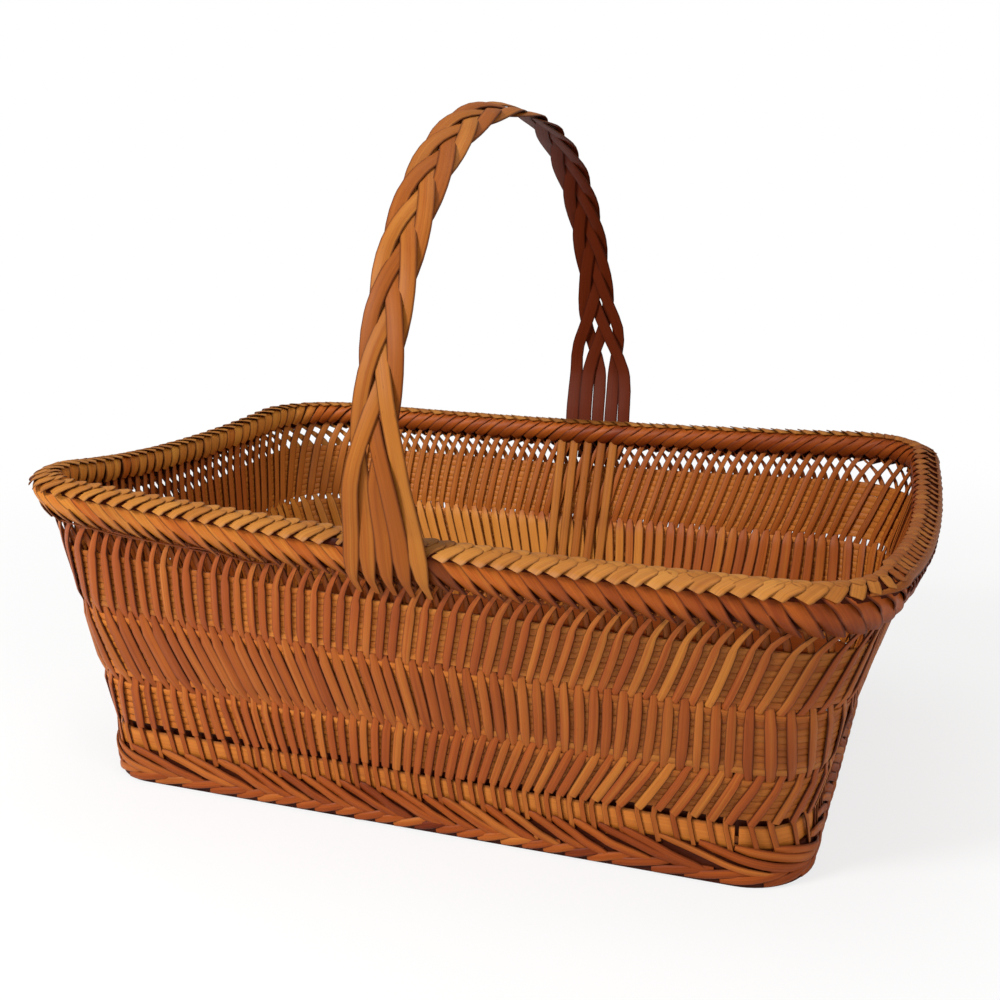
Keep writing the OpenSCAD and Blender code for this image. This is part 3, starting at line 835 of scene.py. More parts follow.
@dataclass
class Workshop:
    """What the sub-assemblies share, and how their pieces are made and dressed.

    Attributes:
        shape: Shape of the basket.
        rng: Random numbers.
        layer: Lays the strips.
        finishes: Materials made so far, by name.
    """

    shape: BasketShape
    rng: np.random.Generator
    layer: StripLayer
    finishes: dict[str, bpy.types.Material] = field(default_factory=dict)

    def finish(self, kind: StripFinish | CoreFinish) -> bpy.types.Material:
        """Material of a finish, made on first use.

        Args:
            kind: The finish.

        Returns:
            Its material.
        """
        if kind.name not in self.finishes:
            self.finishes[kind.name] = kind.build()
        return self.finishes[kind.name]

    def dress(self, piece: bpy.types.Object, finish: StripFinish | CoreFinish, slot: str, *nodes: str) -> None:
        """Gives a piece its finish and body, and hides the solids that it stands for.

        Args:
            piece: The new piece.
            finish: Its finish.
            slot: Name of the record's material slot. Not used.
            nodes: Solids that it stands for.
        """
        piece.data.materials.append(self.finish(finish))
        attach(piece, "root")
        if nodes:
            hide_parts(*nodes)
        LOG.info("%s: %d faces", piece.name, len(piece.data.polygons))

    def make(self, name: str, runs: list[StripRun], finish: StripFinish | CoreFinish, slot: str,
             *nodes: str) -> None:
        """Lays strips as one piece and dresses it.

        Args:
            name: Name of the piece.
            runs: Strips to lay.
            finish: Their finish.
            slot: Name of the record's material slot.
            nodes: Solids that the piece stands for.
        """
        self.dress(self.layer.lay(name, runs), finish, slot, *nodes)

    def dress_solid(self, frame: dict, node: str, finish: CoreFinish) -> None:
        """Gives a solid that stays in view its finish.

        Args:
            node: Name of the solid.
            finish: Its finish.
        """
        solid = frame["nodes"][node]
        solid.data.materials.clear()
        solid.data.materials.append(self.finish(finish))
        LOG.info("%s: solid kept", node)

    def tones(self, count: int, middle: float = 0.5, spread: float = 0.13) -> np.ndarray:
        """Random tones for some strips."""
        return np.clip(self.rng.normal(middle, spread, count), 0.0, 1.0)


@dataclass
class Wall:
    """Weavers in three bands and two families of stakes that lean opposite ways.

    Attributes:
        shop: What the sub-assemblies share.
        weaver_thick, weaver_gap, weaver_rings: Thickness of a weaver, gap to the next row, and rings.
        weaver_start: Stations in which the first weaver of a row may start.
        weaver_lengths, weaver_rest: Shortest and longest weaver, and the shortest that closes a row.
        weaver_lap, weaver_step: How far two weavers lap, in stations, and the step out at the lap.
        weaver_wave: How far a weaver swings out and in past the stakes.
        stake_thick, stake_off, rings: Thickness of a stake, its offset from the wall, and rings.
        pair_shift: How far the two stakes of a pair move together at the foot, in stations.
        hook_forward, hook_backward: How far the stakes' tips bend on under the rail, in stations.
        left_close: How much wider the stakes of the left end are in the open band.
        right_dim, top_dim: Light lost towards the right of the front, and more of it in the top band.
        left_lift: Light gained at the left end.
        left_dim: Light lost by the top band's weavers at the left of the front.
        weaver_dim: Light lost by the weavers at the right of the front.
        stake_lift: Light gained by the stakes at the right of the front.
        golden: How much paler the stakes get towards the back's left corner.
        golden_low: How much paler they are below the top band there.
        golden_right: How much paler they are at the right of the front, as painted light on the stakes beside the
            shaded weavers.
        weavers, forward, backward: Finishes of the weavers and of the two families of stakes.
    """

    shop: Workshop
    weaver_thick: float = 0.9
    weaver_gap: float = -0.3
    weaver_rings: int = 60
    weaver_start: float = 20.0
    weaver_lengths: tuple[float, float] = (22.0, 36.0)
    weaver_rest: float = 18.0
    weaver_lap: float = 2.4
    weaver_step: float = 0.42
    weaver_wave: float = 0.16
    stake_thick: float = 1.0
    stake_off: float = 1.4
    rings: int = 34
    pair_shift: float = 0.06
    hook_forward: float = 0.7
    hook_backward: float = 0.2
    left_close: float = 0.4
    right_dim: float = 0.2
    top_dim: float = 0.16
    left_lift: float = 0.18
    left_dim: float = 0.4
    weaver_dim: float = 0.38
    stake_lift: float = 0.02
    golden: float = 0.8
    golden_low: float = 0.95
    golden_right: float = 0.04
    weavers: StripFinish = StripFinish("weaver_strip", dark=srgb(142, 64, 22), middle=srgb(188, 104, 36),
                                       pale=srgb(210, 134, 56), pith=srgb(190, 112, 42), fibre=0.26,
                                       pith_share=0.5, edge_share=0.35)
    # The stakes' high edge_share is partly painted shade: dark lines along their sides.
    forward: StripFinish = StripFinish("stake_forward_strip", dark=srgb(116, 46, 16), middle=srgb(160, 78, 27),
                                       pale=srgb(210, 138, 54), pith=srgb(174, 94, 34), pith_share=0.3,
                                       edge_share=0.85)
    backward: StripFinish = StripFinish("stake_backward_strip", dark=srgb(110, 42, 14), middle=srgb(156, 78, 27),
                                        pale=srgb(190, 116, 46), pith=srgb(170, 92, 34), pith_share=0.45,
                                        edge_share=0.85)

    def build(self) -> None:
        """Builds all the strips of the wall."""
        shape = self.shop.shape
        for band, first, count in zip(("low", "mid", "top"), (shape.low, shape.mid, shape.top), shape.rows):
            press = shape.open_more / (count - 1) if band == "top" else 0.0
            for i in range(count):
                self._weaver(f"weaver_{band}_{i + 1}", first, i, press)
        for side in Side:
            for lean in Lean:
                self._stakes(side, lean)

    def _high(self, z: np.ndarray) -> np.ndarray:
        """How far a height has come above the upper crossing, from 0 to 1."""
        return ease((z - self.shop.shape.cross_high) / 8.0)

    def _light(self, points: np.ndarray) -> np.ndarray:
        """Light on the wall, less towards the right of the front.

        Args:
            points: Places on the wall.

        Returns:
            One share of the full light for each place.
        """
        x, y = self.shop.shape.shares(points)
        rightwards = np.clip(x + 0.25, 0.0, 1.2) * ease(0.5 - y)
        left_end = self.left_lift * ease((-x - 0.8) / 0.12)
        return 1.0 + left_end - (self.right_dim + self.top_dim * self._high(points[..., 2])) * rightwards

    def _right_front(self, points: np.ndarray) -> np.ndarray:
        """How far a place lies to the right of the front, where the weavers are darker than the stakes."""
        x, y = self.shop.shape.shares(points)
        return ease((x - 0.05) / 0.35) * ease(0.5 - y)

    def _weaver_light(self, points: np.ndarray) -> np.ndarray:
        """Light on the weavers, less than on the stakes at the front.

        Args:
            points: Middle lines of the weavers.

        Returns:
            One share of the full light for each ring.
        """
        x, y = self.shop.shape.shares(points)
        leftwards = ease((-x - 0.3) / 0.4) * ease(0.5 - y) * self._high(points[..., 2])
        return self._light(points) * (1 - self.left_dim * leftwards) \
            * (1 - self.weaver_dim * self._right_front(points))

    def _weaver(self, node: str, first_z: float, row: int, press: float) -> None:
        """One row of weavers, made of strips laid end to end.

        Args:
            node: Solid that the row stands for.
            first_z: Height of the band's lowest row.
            row: Number of the row in its band, from 0.
            press: How much closer the rows lie at the front.
        """
        shape, rng = self.shop.shape, self.shop.rng
        starts, q = [], rng.uniform(0.0, self.weaver_start)
        first = q
        while q < first + shape.stations - self.weaver_rest:
            starts.append(q)
            q += rng.uniform(*self.weaver_lengths)
        lengths = np.diff(starts + [first + shape.stations]) + self.weaver_lap
        count, rings = len(starts), self.weaver_rings
        share = np.linspace(0.0, 1.0, rings)
        stations = np.array(starts)[:, None] + lengths[:, None] * share
        wander = 0.1 * np.sin(stations * 0.31 + rng.uniform(0, 6.3, (count, 1)))
        pitch = shape.pitch - press * shape.opened(stations)
        heights = first_z + row * pitch + wander + rng.normal(0.0, 0.04, (count, 1))
        lap = self.weaver_step * (ease((stations - stations[:, :1]) / 3.0) - 0.5)
        points = shape.place(stations, heights, lap + self.weaver_wave * np.cos(2 * np.pi * stations))
        widths = pitch - self.weaver_gap + rng.normal(0.0, 0.06, (count, 1))
        widths = widths * (0.55 + 0.45 * ease(np.minimum(share, 1 - share) * 40))
        run = StripRun(points, shape.normal(stations, heights), widths, self.weaver_thick,
                       self.shop.tones(count, 0.55, 0.08), rolls=rng.normal(0.0, 0.03, (count, 1)), crown=0.03,
                       shades=self._weaver_light(points))
        self.shop.make(f"{node}_strips", [run], self.weavers, "weaver_strip", node)

    def _layer_curve(self, lean: Lean, side: Side) -> list[tuple[float, ...]]:
        """Line of a stake, from its foot to its tip.

        Args:
            lean: Way that the stake leans.
            side: Side of the basket.

        Returns:
            Heights, offsets from the wall there and widths there.
        """
        s, o = self.shop.shape, self.stake_off
        top_end = s.top_end - s.open_more * {Side.FRONT: 1.0, Side.BACK: 0.0}.get(side, 0.5)
        if lean is Lean.FORWARD:
            rows = [(mix(s.foot_height, s.low, 0.3), o, 4.4), (s.low + 2, o + 0.15, 5.0),
                    (s.low_end - 3, o + 0.15, 4.9), (s.cross_low, 0.0, 4.0),
                    (s.mid + 3, -o, 6.2), (s.mid_end - 3, -o, 6.2),
                    (s.cross_high, 0.0, 4.0), (s.top + 3, o + 0.1, 4.8),
                    (top_end - 4, o + 0.2, 4.8), (top_end + 1, o + 0.1, 3.4), (s.border_foot + 8, o + 0.2, 1.0)]
        else:
            rows = [(s.hoop_bottom - 1.5, o + 0.2, 2.8), (s.foot_height - 1.0, o + 0.3, 2.8),
                    (s.low + 2, -o, 3.9), (s.low_end - 3, -o, 3.9), (s.cross_low, 0.0, 4.0),
                    (s.mid + 5, o, 6.0), (s.mid_end - 5, o + 0.1, 6.0),
                    (s.cross_high, 0.0, 4.0), (s.top + 3, -o, 4.2),
                    (top_end, -o, 3.9), (s.border_foot, -o, 3.4), (s.rim_height - 6, -o, 3.0)]
        return list(zip(*rows))

    def _stakes(self, side: Side, lean: Lean) -> None:
        """Stakes of one lean on a straight wall, and those round the corner after it.

        Args:
            side: Side of the basket.
            lean: Way that the stakes lean.
        """
        shape = self.shop.shape
        curve = self._layer_curve(lean, side)
        below = (shape.cross_low - curve[0][0]) / shape.lean_rise
        above = (curve[0][-1] - shape.cross_low) / shape.lean_rise
        if lean is Lean.FORWARD:
            first, spare = math.ceil(below), math.ceil(above)
        else:
            first, spare = math.ceil(above - 0.5), math.ceil(0.5 + below)
        start, end = shape.side_start(side), shape.side_start(side) + shape.side_count(side) + 1
        finish = self.forward if lean is Lean.FORWARD else self.backward
        for place, stations in ((side.name, range(start + first, end - spare)),
                                (f"after_{side.name}", range(end - spare, end - 1 + shape.stakes_corner + first))):
            word = "corner" if place.startswith("after") else "stakes"
            node = f"{word}_{lean.name}_{place}".lower()
            run = self._stake_run(lean, np.array(stations, float), curve)
            self.shop.make(f"{node}_strips", [run], finish, "stake_strip", node)

    def _stake_run(self, lean: Lean, index: np.ndarray, curve: list[tuple[float, ...]]) -> StripRun:
        """Stakes of one lean.

        Args:
            lean: Way that they lean.
            index: Station of each stake at the lower crossing.
            curve: Heights, offsets and widths, as _layer_curve gives them.

        Returns:
            The run of these stakes.
        """
        shape, rng = self.shop.shape, self.shop.rng
        heights, offs, widths = curve
        count = len(index)
        z = np.linspace(heights[0], heights[-1], self.rings)[None, :] + rng.normal(0.0, 0.5, (count, 1))
        q = shape.leaning(lean, index[:, None], z)
        top_end = shape.top_end - shape.open_more * shape.opened(q)
        above = np.clip((z - top_end) / (shape.border_foot - top_end), 0.0, 1.6)
        hook = self.hook_forward if lean is Lean.FORWARD else self.hook_backward
        q = q + lean.value * hook * above ** 1.5
        if lean is Lean.BACKWARD:
            pair = np.where(np.mod(index, 2) < 0.5, 1.0, -1.0)[:, None] * self.pair_shift
            q = q + pair * (1 - ease((z - shape.foot_height + 2) / 9.0))
        wander = rng.normal(0.0, 0.035, (count, 1)) + 0.03 * np.sin(z * 0.07 + rng.uniform(0, 6.3, (count, 1)))
        q = shape.drawn(q + wander, z)
        off = through(z, heights, offs) + rng.normal(0.0, 0.06, (count, 1))
        width = through(z, heights, widths) * (1 + rng.normal(0.0, 0.07, (count, 1)))
        x, _ = shape.shares(shape.middle(q, z))
        if lean is Lean.BACKWARD:
            band = ease((z - shape.cross_low) / 6.0) * ease((shape.cross_high - z) / 6.0)
            width = width * (1 - 0.16 * band * (x + 0.1))
        else:
            width = width * (1 - 0.1 * x * ease((z - shape.cross_high) / 6.0))
        width = width * (1 + self.left_close * ease((-x - 0.72) / 0.2) * self._high(z))
        points = shape.place(q, z, off)
        return StripRun(points, shape.normal(q, z), width, self.stake_thick, self._stake_tones(points, z),
                        rolls=rng.normal(0.0, 0.07, (count, 1)) + lean.value * 0.06, crown=0.06,
                        shades=self._light(points) + self.stake_lift * self._right_front(points))

    def _stake_tones(self, points: np.ndarray, z: np.ndarray) -> np.ndarray:
        """Tones of stakes, paler inside the back wall's left half, and paler at the right of the front as painted
        light.

        Args:
            points: Middle lines of the stakes.
            z: Height of each ring before the sag.

        Returns:
            One tone for each ring.
        """
        x, y = self.shop.shape.shares(points.mean(axis=1))
        high = self.golden * np.clip(-x - 0.1, 0.0, 1.0) * ease(y)
        back_left = ease((0.45 - x) / 0.9) * ease(y * 4 - 2.5)
        low = ease((self.shop.shape.cross_high - z) / 10.0) * back_left[:, None]
        tones = (self.shop.tones(len(points), 0.5, 0.07) + high)[:, None] + self.golden_low * low
        # Paler at the right of the front: painted light on the stakes, against the painted shade on the weavers
        # there.
        return np.clip(tones + self.golden_right * self._right_front(points), 0.0, 1.0)


@dataclass(frozen=True)
class WrapStyle:
    """How the slanted wraps on one face of the rail lie and look.

    Attributes:
        offs: Offset from the wall at each stop down the wrap.
        depths: Depth below the crest at each stop.
        core_bottom: Depth of the core's lower edge.
        falls: Share of the fall towards the back, 0 or 1.
        pegs: Share of the upright pegs on the left rail, 0 or 1.
        slim, peg_slim: How much narrower the wraps and the pegs are.
        roll: Turn about the wrap's own line, in radians.
        tone: Middle tone.
        right_dark: How much darker the wraps are at the right, partly the rim's own patina and partly painted shade
            away from the lamp at the left.
        handle_dim: Light lost under the handle.
    """

    offs: tuple[float, ...]
    depths: tuple[float, ...]
    core_bottom: float
    falls: float
    pegs: float
    slim: float
    peg_slim: float
    roll: float
    tone: float
    right_dark: float
    handle_dim: float


@dataclass(frozen=True)
class ToothRow:
    """One of the two rows of short strips on top of the rail.

    Attributes:
        side: 1 for the outer row, -1 for the inner one.
        reach, reach_right: Offset of the strips' outer ends, and on the right rail.
        meet_right: Offset of their inner ends on the right rail.
        end_depth: Depth of the outer ends below the crest.
        width_right: Width on the right rail.
        lag: How far the row is moved on along the rail, in wraps.
        tucks: Share of the tuck under the handle, 0 or 1.
    """

    side: float
    reach: float
    reach_right: float
    meet_right: float
    end_depth: float
    width_right: float
    lag: float
    tucks: float


@dataclass
class RimBorder:
    """Plaited border: slanted wraps outside and inside, and a herringbone of two rows on top.

    Attributes:
        shop: What the sub-assemblies share.
        wraps: Wraps round the rim.
        wrap_width, wrap_thick, rings: Width and thickness of a wrap, and its rings.
        stops: Places along a wrap where its style says offset and depth.
        lean, peg_lean: How far a wrap and a peg run on along the rail.
        travel, travel_right: The same for the strips on top, and on the right rail.
        top_width, top_thick: Width and thickness of the strips on top.
        tooth_cut: Slant of the cuts of the strips on top.
        meet: Offset of the strips' inner ends past the middle.
        tuck_reach: Offset of the outer ends under the handle.
        core_off, core_thick, core_top: Offset, thickness and depth of the core hoops.
        back_fall: Height of the outer wraps at the back, as a share of the front's.
        edge_width: Width of the edge strip on the right rail.
        heart: Depth of the rail's middle, which the strips face away from.
        fan_half, fan_lean: Half the width of the handle's fan, and its lean to one side.
        side, top, under: Finishes of the wraps, the strips on top, and the dark bands under them, which are painted
            shadow in the gaps.
    """

    shop: Workshop
    wraps: int = 160
    wrap_width: float = 8.0
    wrap_thick: float = 1.0
    rings: int = 15
    stops: tuple[float, ...] = (0.0, 0.12, 0.3, 0.55, 0.8, 1.0)
    lean: float = 19.0
    peg_lean: float = 6.0
    travel: float = 9.6
    travel_right: float = 2.5
    top_width: float = 9.0
    top_thick: float = 0.55
    tooth_cut: float = 0.25
    meet: float = -0.9
    tuck_reach: float = 5.6
    core_off: float = 3.4
    core_thick: float = 2.2
    core_top: float = 1.9
    back_fall: float = 0.76
    edge_width: float = 4.4
    heart: float = 14.0
    fan_half: float = 26.0
    fan_lean: float = 2.0
    side: StripFinish = StripFinish("rim_side_strip", dark=srgb(126, 50, 14), middle=srgb(178, 90, 26),
                                    pale=srgb(212, 142, 56), edge_share=0.75)
    top: StripFinish = StripFinish("rim_top_strip", dark=srgb(136, 72, 24), middle=srgb(172, 109, 44),
                                   pale=srgb(192, 132, 60), stain=0.25)
    # Painted shadow: the dark bands under the teeth stand for the shade in the gaps there.
    under: StripFinish = StripFinish("rim_under_strip", dark=srgb(44, 14, 5), middle=srgb(62, 21, 7),
                                     pale=srgb(84, 30, 10), shine=0.04)

    def build(self) -> None:
        """Builds the cores, the wraps, the herringbone and the strips beside them."""
        self._measure()
        outer = WrapStyle((2.2, 5.0, 6.2, 6.5, 5.8, 2.6), (2.1, 2.5, 5.4, 11.0, 17.4, 22.4), core_bottom=19.4,
                          falls=1.0, pegs=0.0, slim=0.0, peg_slim=0.0, roll=0.09, tone=0.46, right_dark=0.24,
                          handle_dim=0.75)
        inner = WrapStyle((-2.2, -5.0, -6.2, -6.4, -5.8, -3.7), (2.1, 2.5, 4.6, 8.0, 11.8, 14.4), core_bottom=13.0,
                          falls=0.0, pegs=1.0, slim=1.7, peg_slim=0.6, roll=-0.15, tone=0.3, right_dark=0.1,
                          handle_dim=0.0)
        for face, style in ((Face.OUTER, outer), (Face.INNER, inner)):
            self._core(face, style)
            self._side_wraps(face, style)
        outer_row = ToothRow(1.0, reach=8.3, reach_right=5.4, meet_right=-2.8, end_depth=3.4, width_right=4.3,
                             lag=0.0, tucks=1.0)
        inner_row = ToothRow(-1.0, reach=6.8, reach_right=6.8, meet_right=2.0, end_depth=2.3, width_right=9.8,
                             lag=0.35, tucks=0.0)
        rows = [self._teeth(row) for row in (outer_row, inner_row)]
        self.shop.make("rim_wraps_top_strips", rows, self.top, "rim_strip", "rim_wraps_top")
        self._under_strips()
        self._edge_strip()
        self._loose_strips()

    def _surface(self, q: np.ndarray, off: float | np.ndarray, depth: float | np.ndarray) -> np.ndarray:
        """Place on the rail by its offset from the wall and its depth below the crest."""
        shape = self.shop.shape
        return shape.place(q, shape.below_crest(q, depth), off)

    def _pace(self, q: np.ndarray, off: float) -> np.ndarray:
        """Millimetres for each station along the rail."""
        return np.linalg.norm(self._surface(q + 0.5, off, 10.0) - self._surface(q - 0.5, off, 10.0), axis=-1)

    def _stretch(self, q: np.ndarray, off: float, low: float, high: float) -> np.ndarray:
        """How much wider apart stations lie at an offset than in the wall, between two limits."""
        return np.clip(self._pace(q, off) / self._pace(q, 0.0), low, high)

    def _measure(self) -> None:
        """Works out the length along the rail at each station."""
        self.fine = np.linspace(0.0, self.shop.shape.stations, 2401)
        steps = self._pace((self.fine[1:] + self.fine[:-1]) / 2, 0.0) * (self.fine[1] - self.fine[0])
        self.lengths = np.concatenate([[0.0], np.cumsum(steps)])
        self.spacing = self.lengths[-1] / self.wraps

    def _station(self, length: np.ndarray) -> np.ndarray:
        """Station at a length along the rail.

        Args:
            length: Lengths from the first station, which may be below 0 or past the end.

        Returns:
            One station for each length.
        """
        rounds = np.floor(length / self.lengths[-1])
        return np.interp(length - rounds * self.lengths[-1], self.lengths, self.fine) \
            + rounds * self.shop.shape.stations

    def _sideways(self, q: np.ndarray, sign: float) -> np.ndarray:
        """How far round on the right rail, or on the left one with sign -1, a place is, from 0 to 1."""
        shape = self.shop.shape
        return np.clip(12.0 * sign * shape.rim_plan(q)[..., 0] / shape.rim_length - 5.0, 0.0, 1.0)

    def _fall(self, q: np.ndarray) -> np.ndarray:
        """Height of the outer wraps as a share of the front's, less towards the back."""
        shape = self.shop.shape
        return mix(1.0, self.back_fall, ease((shape.shares(shape.rim_plan(q))[1] + 0.6) / 1.2))

    def _under_handle(self, points: np.ndarray) -> np.ndarray:
        """How far a strip lies under the handle's fan, from 0 to 1."""
        x, y = points[..., :1, 0], points[..., :1, 1]
        fan = np.abs(x - self.fan_lean * np.sign(y))
        return ease((self.fan_half - fan) / 4.0) * (np.abs(y) > 0.4 * self.shop.shape.rim_width)

    def _hoop_run(self, off: float, depths: tuple[float, float], tilt: float, width: float,
                  thick: float) -> StripRun:
        """Strip that runs once round the rail.

        Args:
            off: Offset of its middle from the wall.
            depths: Depth of its middle below the crest, and how much of it shrinks towards the back.
            tilt: Turn of its face from outwards to upwards, in radians.
            width: Width where nothing shrinks.
            thick: Thickness.

        Returns:
            The run of one strip.
        """
        q = np.linspace(0.0, self.shop.shape.stations + 0.3, 420)[None, :]
        depth, shrinking = depths
        less = (1.0 - self._fall(q)) * shrinking
        points = self._surface(q, off, depth - less / 2)
        ahead = self._surface(q, off + math.cos(tilt), depth - less / 2 - math.sin(tilt))
        return StripRun(points, unit(ahead - points), width - less, thick, np.array([0.5]), crown=0.0)

    def _core(self, face: Face, style: WrapStyle) -> None:
        """Core hoop that the wraps go round.

        Args:
            face: Face of the rail.
            style: How the wraps lie there.
        """
        height = style.core_bottom - self.core_top
        depths = ((style.core_bottom + self.core_top) / 2, height * style.falls)
        run = self._hoop_run(face.value * self.core_off, depths, 0.0, height, self.core_thick)
        node = f"rim_core_{face.name.lower()}"
        self.shop.make(f"{node}_hoop", [run], CoreFinish("rim_core"), "rim_core_strip", node)

    def _under_strips(self) -> None:
        """Dark bands of painted shadow that show between the herringbone's teeth and in the right rail's slots."""
        # Both bands are painted shadow, dark sheets where the rail has only shade.
        shoulder = self._hoop_run(6.6, (2.7, 0.0), math.atan2(2.0, 3.0), 3.6, 0.4)
        flat = self._hoop_run(1.3, (1.0, 0.0), math.atan2(1.0, 0.12), 7.4, 0.3)
        self.shop.make("rim_under_strips", [shoulder, flat], self.under, "rim_core_strip")

    def _edge_strip(self) -> None:
        """Narrow strip along the outer edge of the right rail."""
        shape, rings = self.shop.shape, 90
        first = shape.side_start(Side.RIGHT)
        q = np.linspace(first - 3.0, first + shape.stakes_end + 4.0, rings)[None, :]
        points = self._surface(q, 5.8, 1.9)
        share = np.linspace(0.0, 1.0, rings)
        widths = self.edge_width * np.interp(share, [0.0, 0.06, 0.94, 1.0], [0.3, 1.0, 1.0, 0.3])
        run = StripRun(points, unit(self._surface(q, 6.6, 1.0) - points), widths, 0.6, np.array([0.12]))
        self.shop.make("rim_edge_strip", [run], self.top, "rim_strip")

    def _side_wraps(self, face: Face, style: WrapStyle) -> None:
        """Slanted wraps on one face of the rail.

        Args:
            face: Face of the rail.
            style: How the wraps lie and look.
        """
        shop, rng, count = self.shop, self.shop.rng, self.wraps
        share = np.linspace(0.0, 1.0, self.rings)
        off = smoothed(np.interp(share, self.stops, style.offs), 2)
        depth = smoothed(np.interp(share, self.stops, style.depths), 2)
        base = self.spacing * np.arange(count)[:, None]
        pegs = self._sideways(self._station(base), -1.0) * style.pegs
        length = base + mix(self.lean, self.peg_lean, pegs) * (share - 0.5)
        q = self._station(length + rng.normal(0.0, 0.3, (count, 1)))
        off = off + rng.normal(0.0, 0.12, (count, 1))
        fall = mix(1.0, self._fall(q), style.falls)
        depth = depth[0] + (depth - depth[0]) * fall * (1 + rng.normal(0.0, 0.02, (count, 1)))
        points = self._surface(q, off, depth)
        inside = self._surface(q, 0.0, 0.47 * style.depths[-1])
        wide = mix(self.wrap_width - style.slim, self.wrap_width - style.peg_slim, pegs)
        widths = wide * self._stretch(q, face.value * 6.0, 0.7, 1.3) * (1 + rng.normal(0.0, 0.04, (count, 1)))
        widths = widths * (1 - 0.1 * ease((share - 0.82) / 0.18))
        shade = 1.0 - 0.6 * ease((share - 0.45) / 0.55) * (1 - 0.7 * pegs)
        shade = shade * (1 - style.handle_dim * self._under_handle(points))
        rightwards, _ = shop.shape.shares(points[:, 0])
        tones = shop.tones(count, style.tone, 0.07) + 0.35 * pegs[:, 0]
        # Darker towards the right: partly patina, partly painted shade away from the lamp at the left.
        tones = np.clip(tones - style.right_dark * rightwards, 0.0, 1.0)
        run = StripRun(points, unit(points - inside), widths, self.wrap_thick, tones, rolls=style.roll, crown=0.04,
                       shades=shade)
        node = f"rim_wraps_{face.name.lower()}"
        shop.make(f"{node}_strips", [run], self.side, "rim_strip", node)

    def _teeth(self, row: ToothRow) -> StripRun:
        """One row of the herringbone, whose two rows meet along the middle of the rail's top.

        Args:
            row: How the row lies.

        Returns:
            The run of its strips.
        """
        shop, rng, count, side = self.shop, self.shop.rng, self.wraps, row.side
        share = np.linspace(0.0, 1.0, 9)
        base = self.spacing * (np.arange(count)[:, None] + 0.4)
        rightwards = self._sideways(self._station(base), 1.0)
        tucked = self._under_handle(self._surface(self._station(base), 0.0, 0.0))
        ends = mix(mix(row.reach, row.reach_right, rightwards), self.tuck_reach, tucked * row.tucks)
        off = side * mix(ends, mix(self.meet, row.meet_right, rightwards), share)
        depth = np.interp(share, [0.0, 0.2, 0.6, 1.0], [row.end_depth, 1.2, 0.25, 0.0])
        if side > 0:
            depth = mix(depth, np.minimum(depth, 0.7), rightwards)
        length = base + mix(self.travel, self.travel_right, rightwards) * (share - 0.5)
        q = self._station(length + rng.normal(0.0, 0.25, (count, 1)) + row.lag * self.spacing)
        points = self._surface(q, off, depth + rng.normal(0.0, 0.08, (count, 1)))
        widths = mix(self.top_width, row.width_right, rightwards) * self._stretch(q, side * 5.5, 0.72, 1.5)
        widths = widths * np.interp(share, [0.0, 0.08, 0.85, 1.0], [0.85, 1.0, 1.0, 0.55])
        shade = (1.0 - 0.35 * ease((share - 0.8) / 0.2)) * (1 - 0.5 * tucked)
        slants = side * self.tooth_cut * (1 - rightwards) * np.interp(share, [0.0, 0.5], [1.0, 0.0])
        tones = np.clip(shop.tones(count, 0.5, 0.08) - 0.35 * rightwards[:, 0], 0.0, 1.0)
        return StripRun(points, unit(points - self._surface(q, 0.0, self.heart)), widths, self.top_thick, tones,
                        rolls=0.11 * side * (1.0 - 0.6 * rightwards), crown=0.015, shades=shade, slants=slants)

    def _loose_strips(self) -> None:
        """Thin strips tucked lengthwise under the rail near the front left corner."""
        share = np.linspace(0.0, 1.0, 40)
        starts, spans, swings = np.array([[-14.0, 18.0, 66.0], [88.0, 62.0, 54.0], [0.6, 0.2, 1.0]])[..., None]
        q = self._station(starts + spans * share)
        points = self._surface(q, mix(4.6, 3.4, share), 21.4 + swings * np.sin(share * 7.0 + starts) + 1.6 * share)
        widths = 3.0 * np.interp(share, [0.0, 0.1, 0.9, 1.0], [0.3, 1.0, 1.0, 0.3])
        run = StripRun(points, unit(points - self._surface(q, 0.0, self.heart)), widths, 0.7,
                       np.array([0.55, 0.4, 0.45]))
        self.shop.make("rim_loose_strips", [run], self.side, "rim_strip")


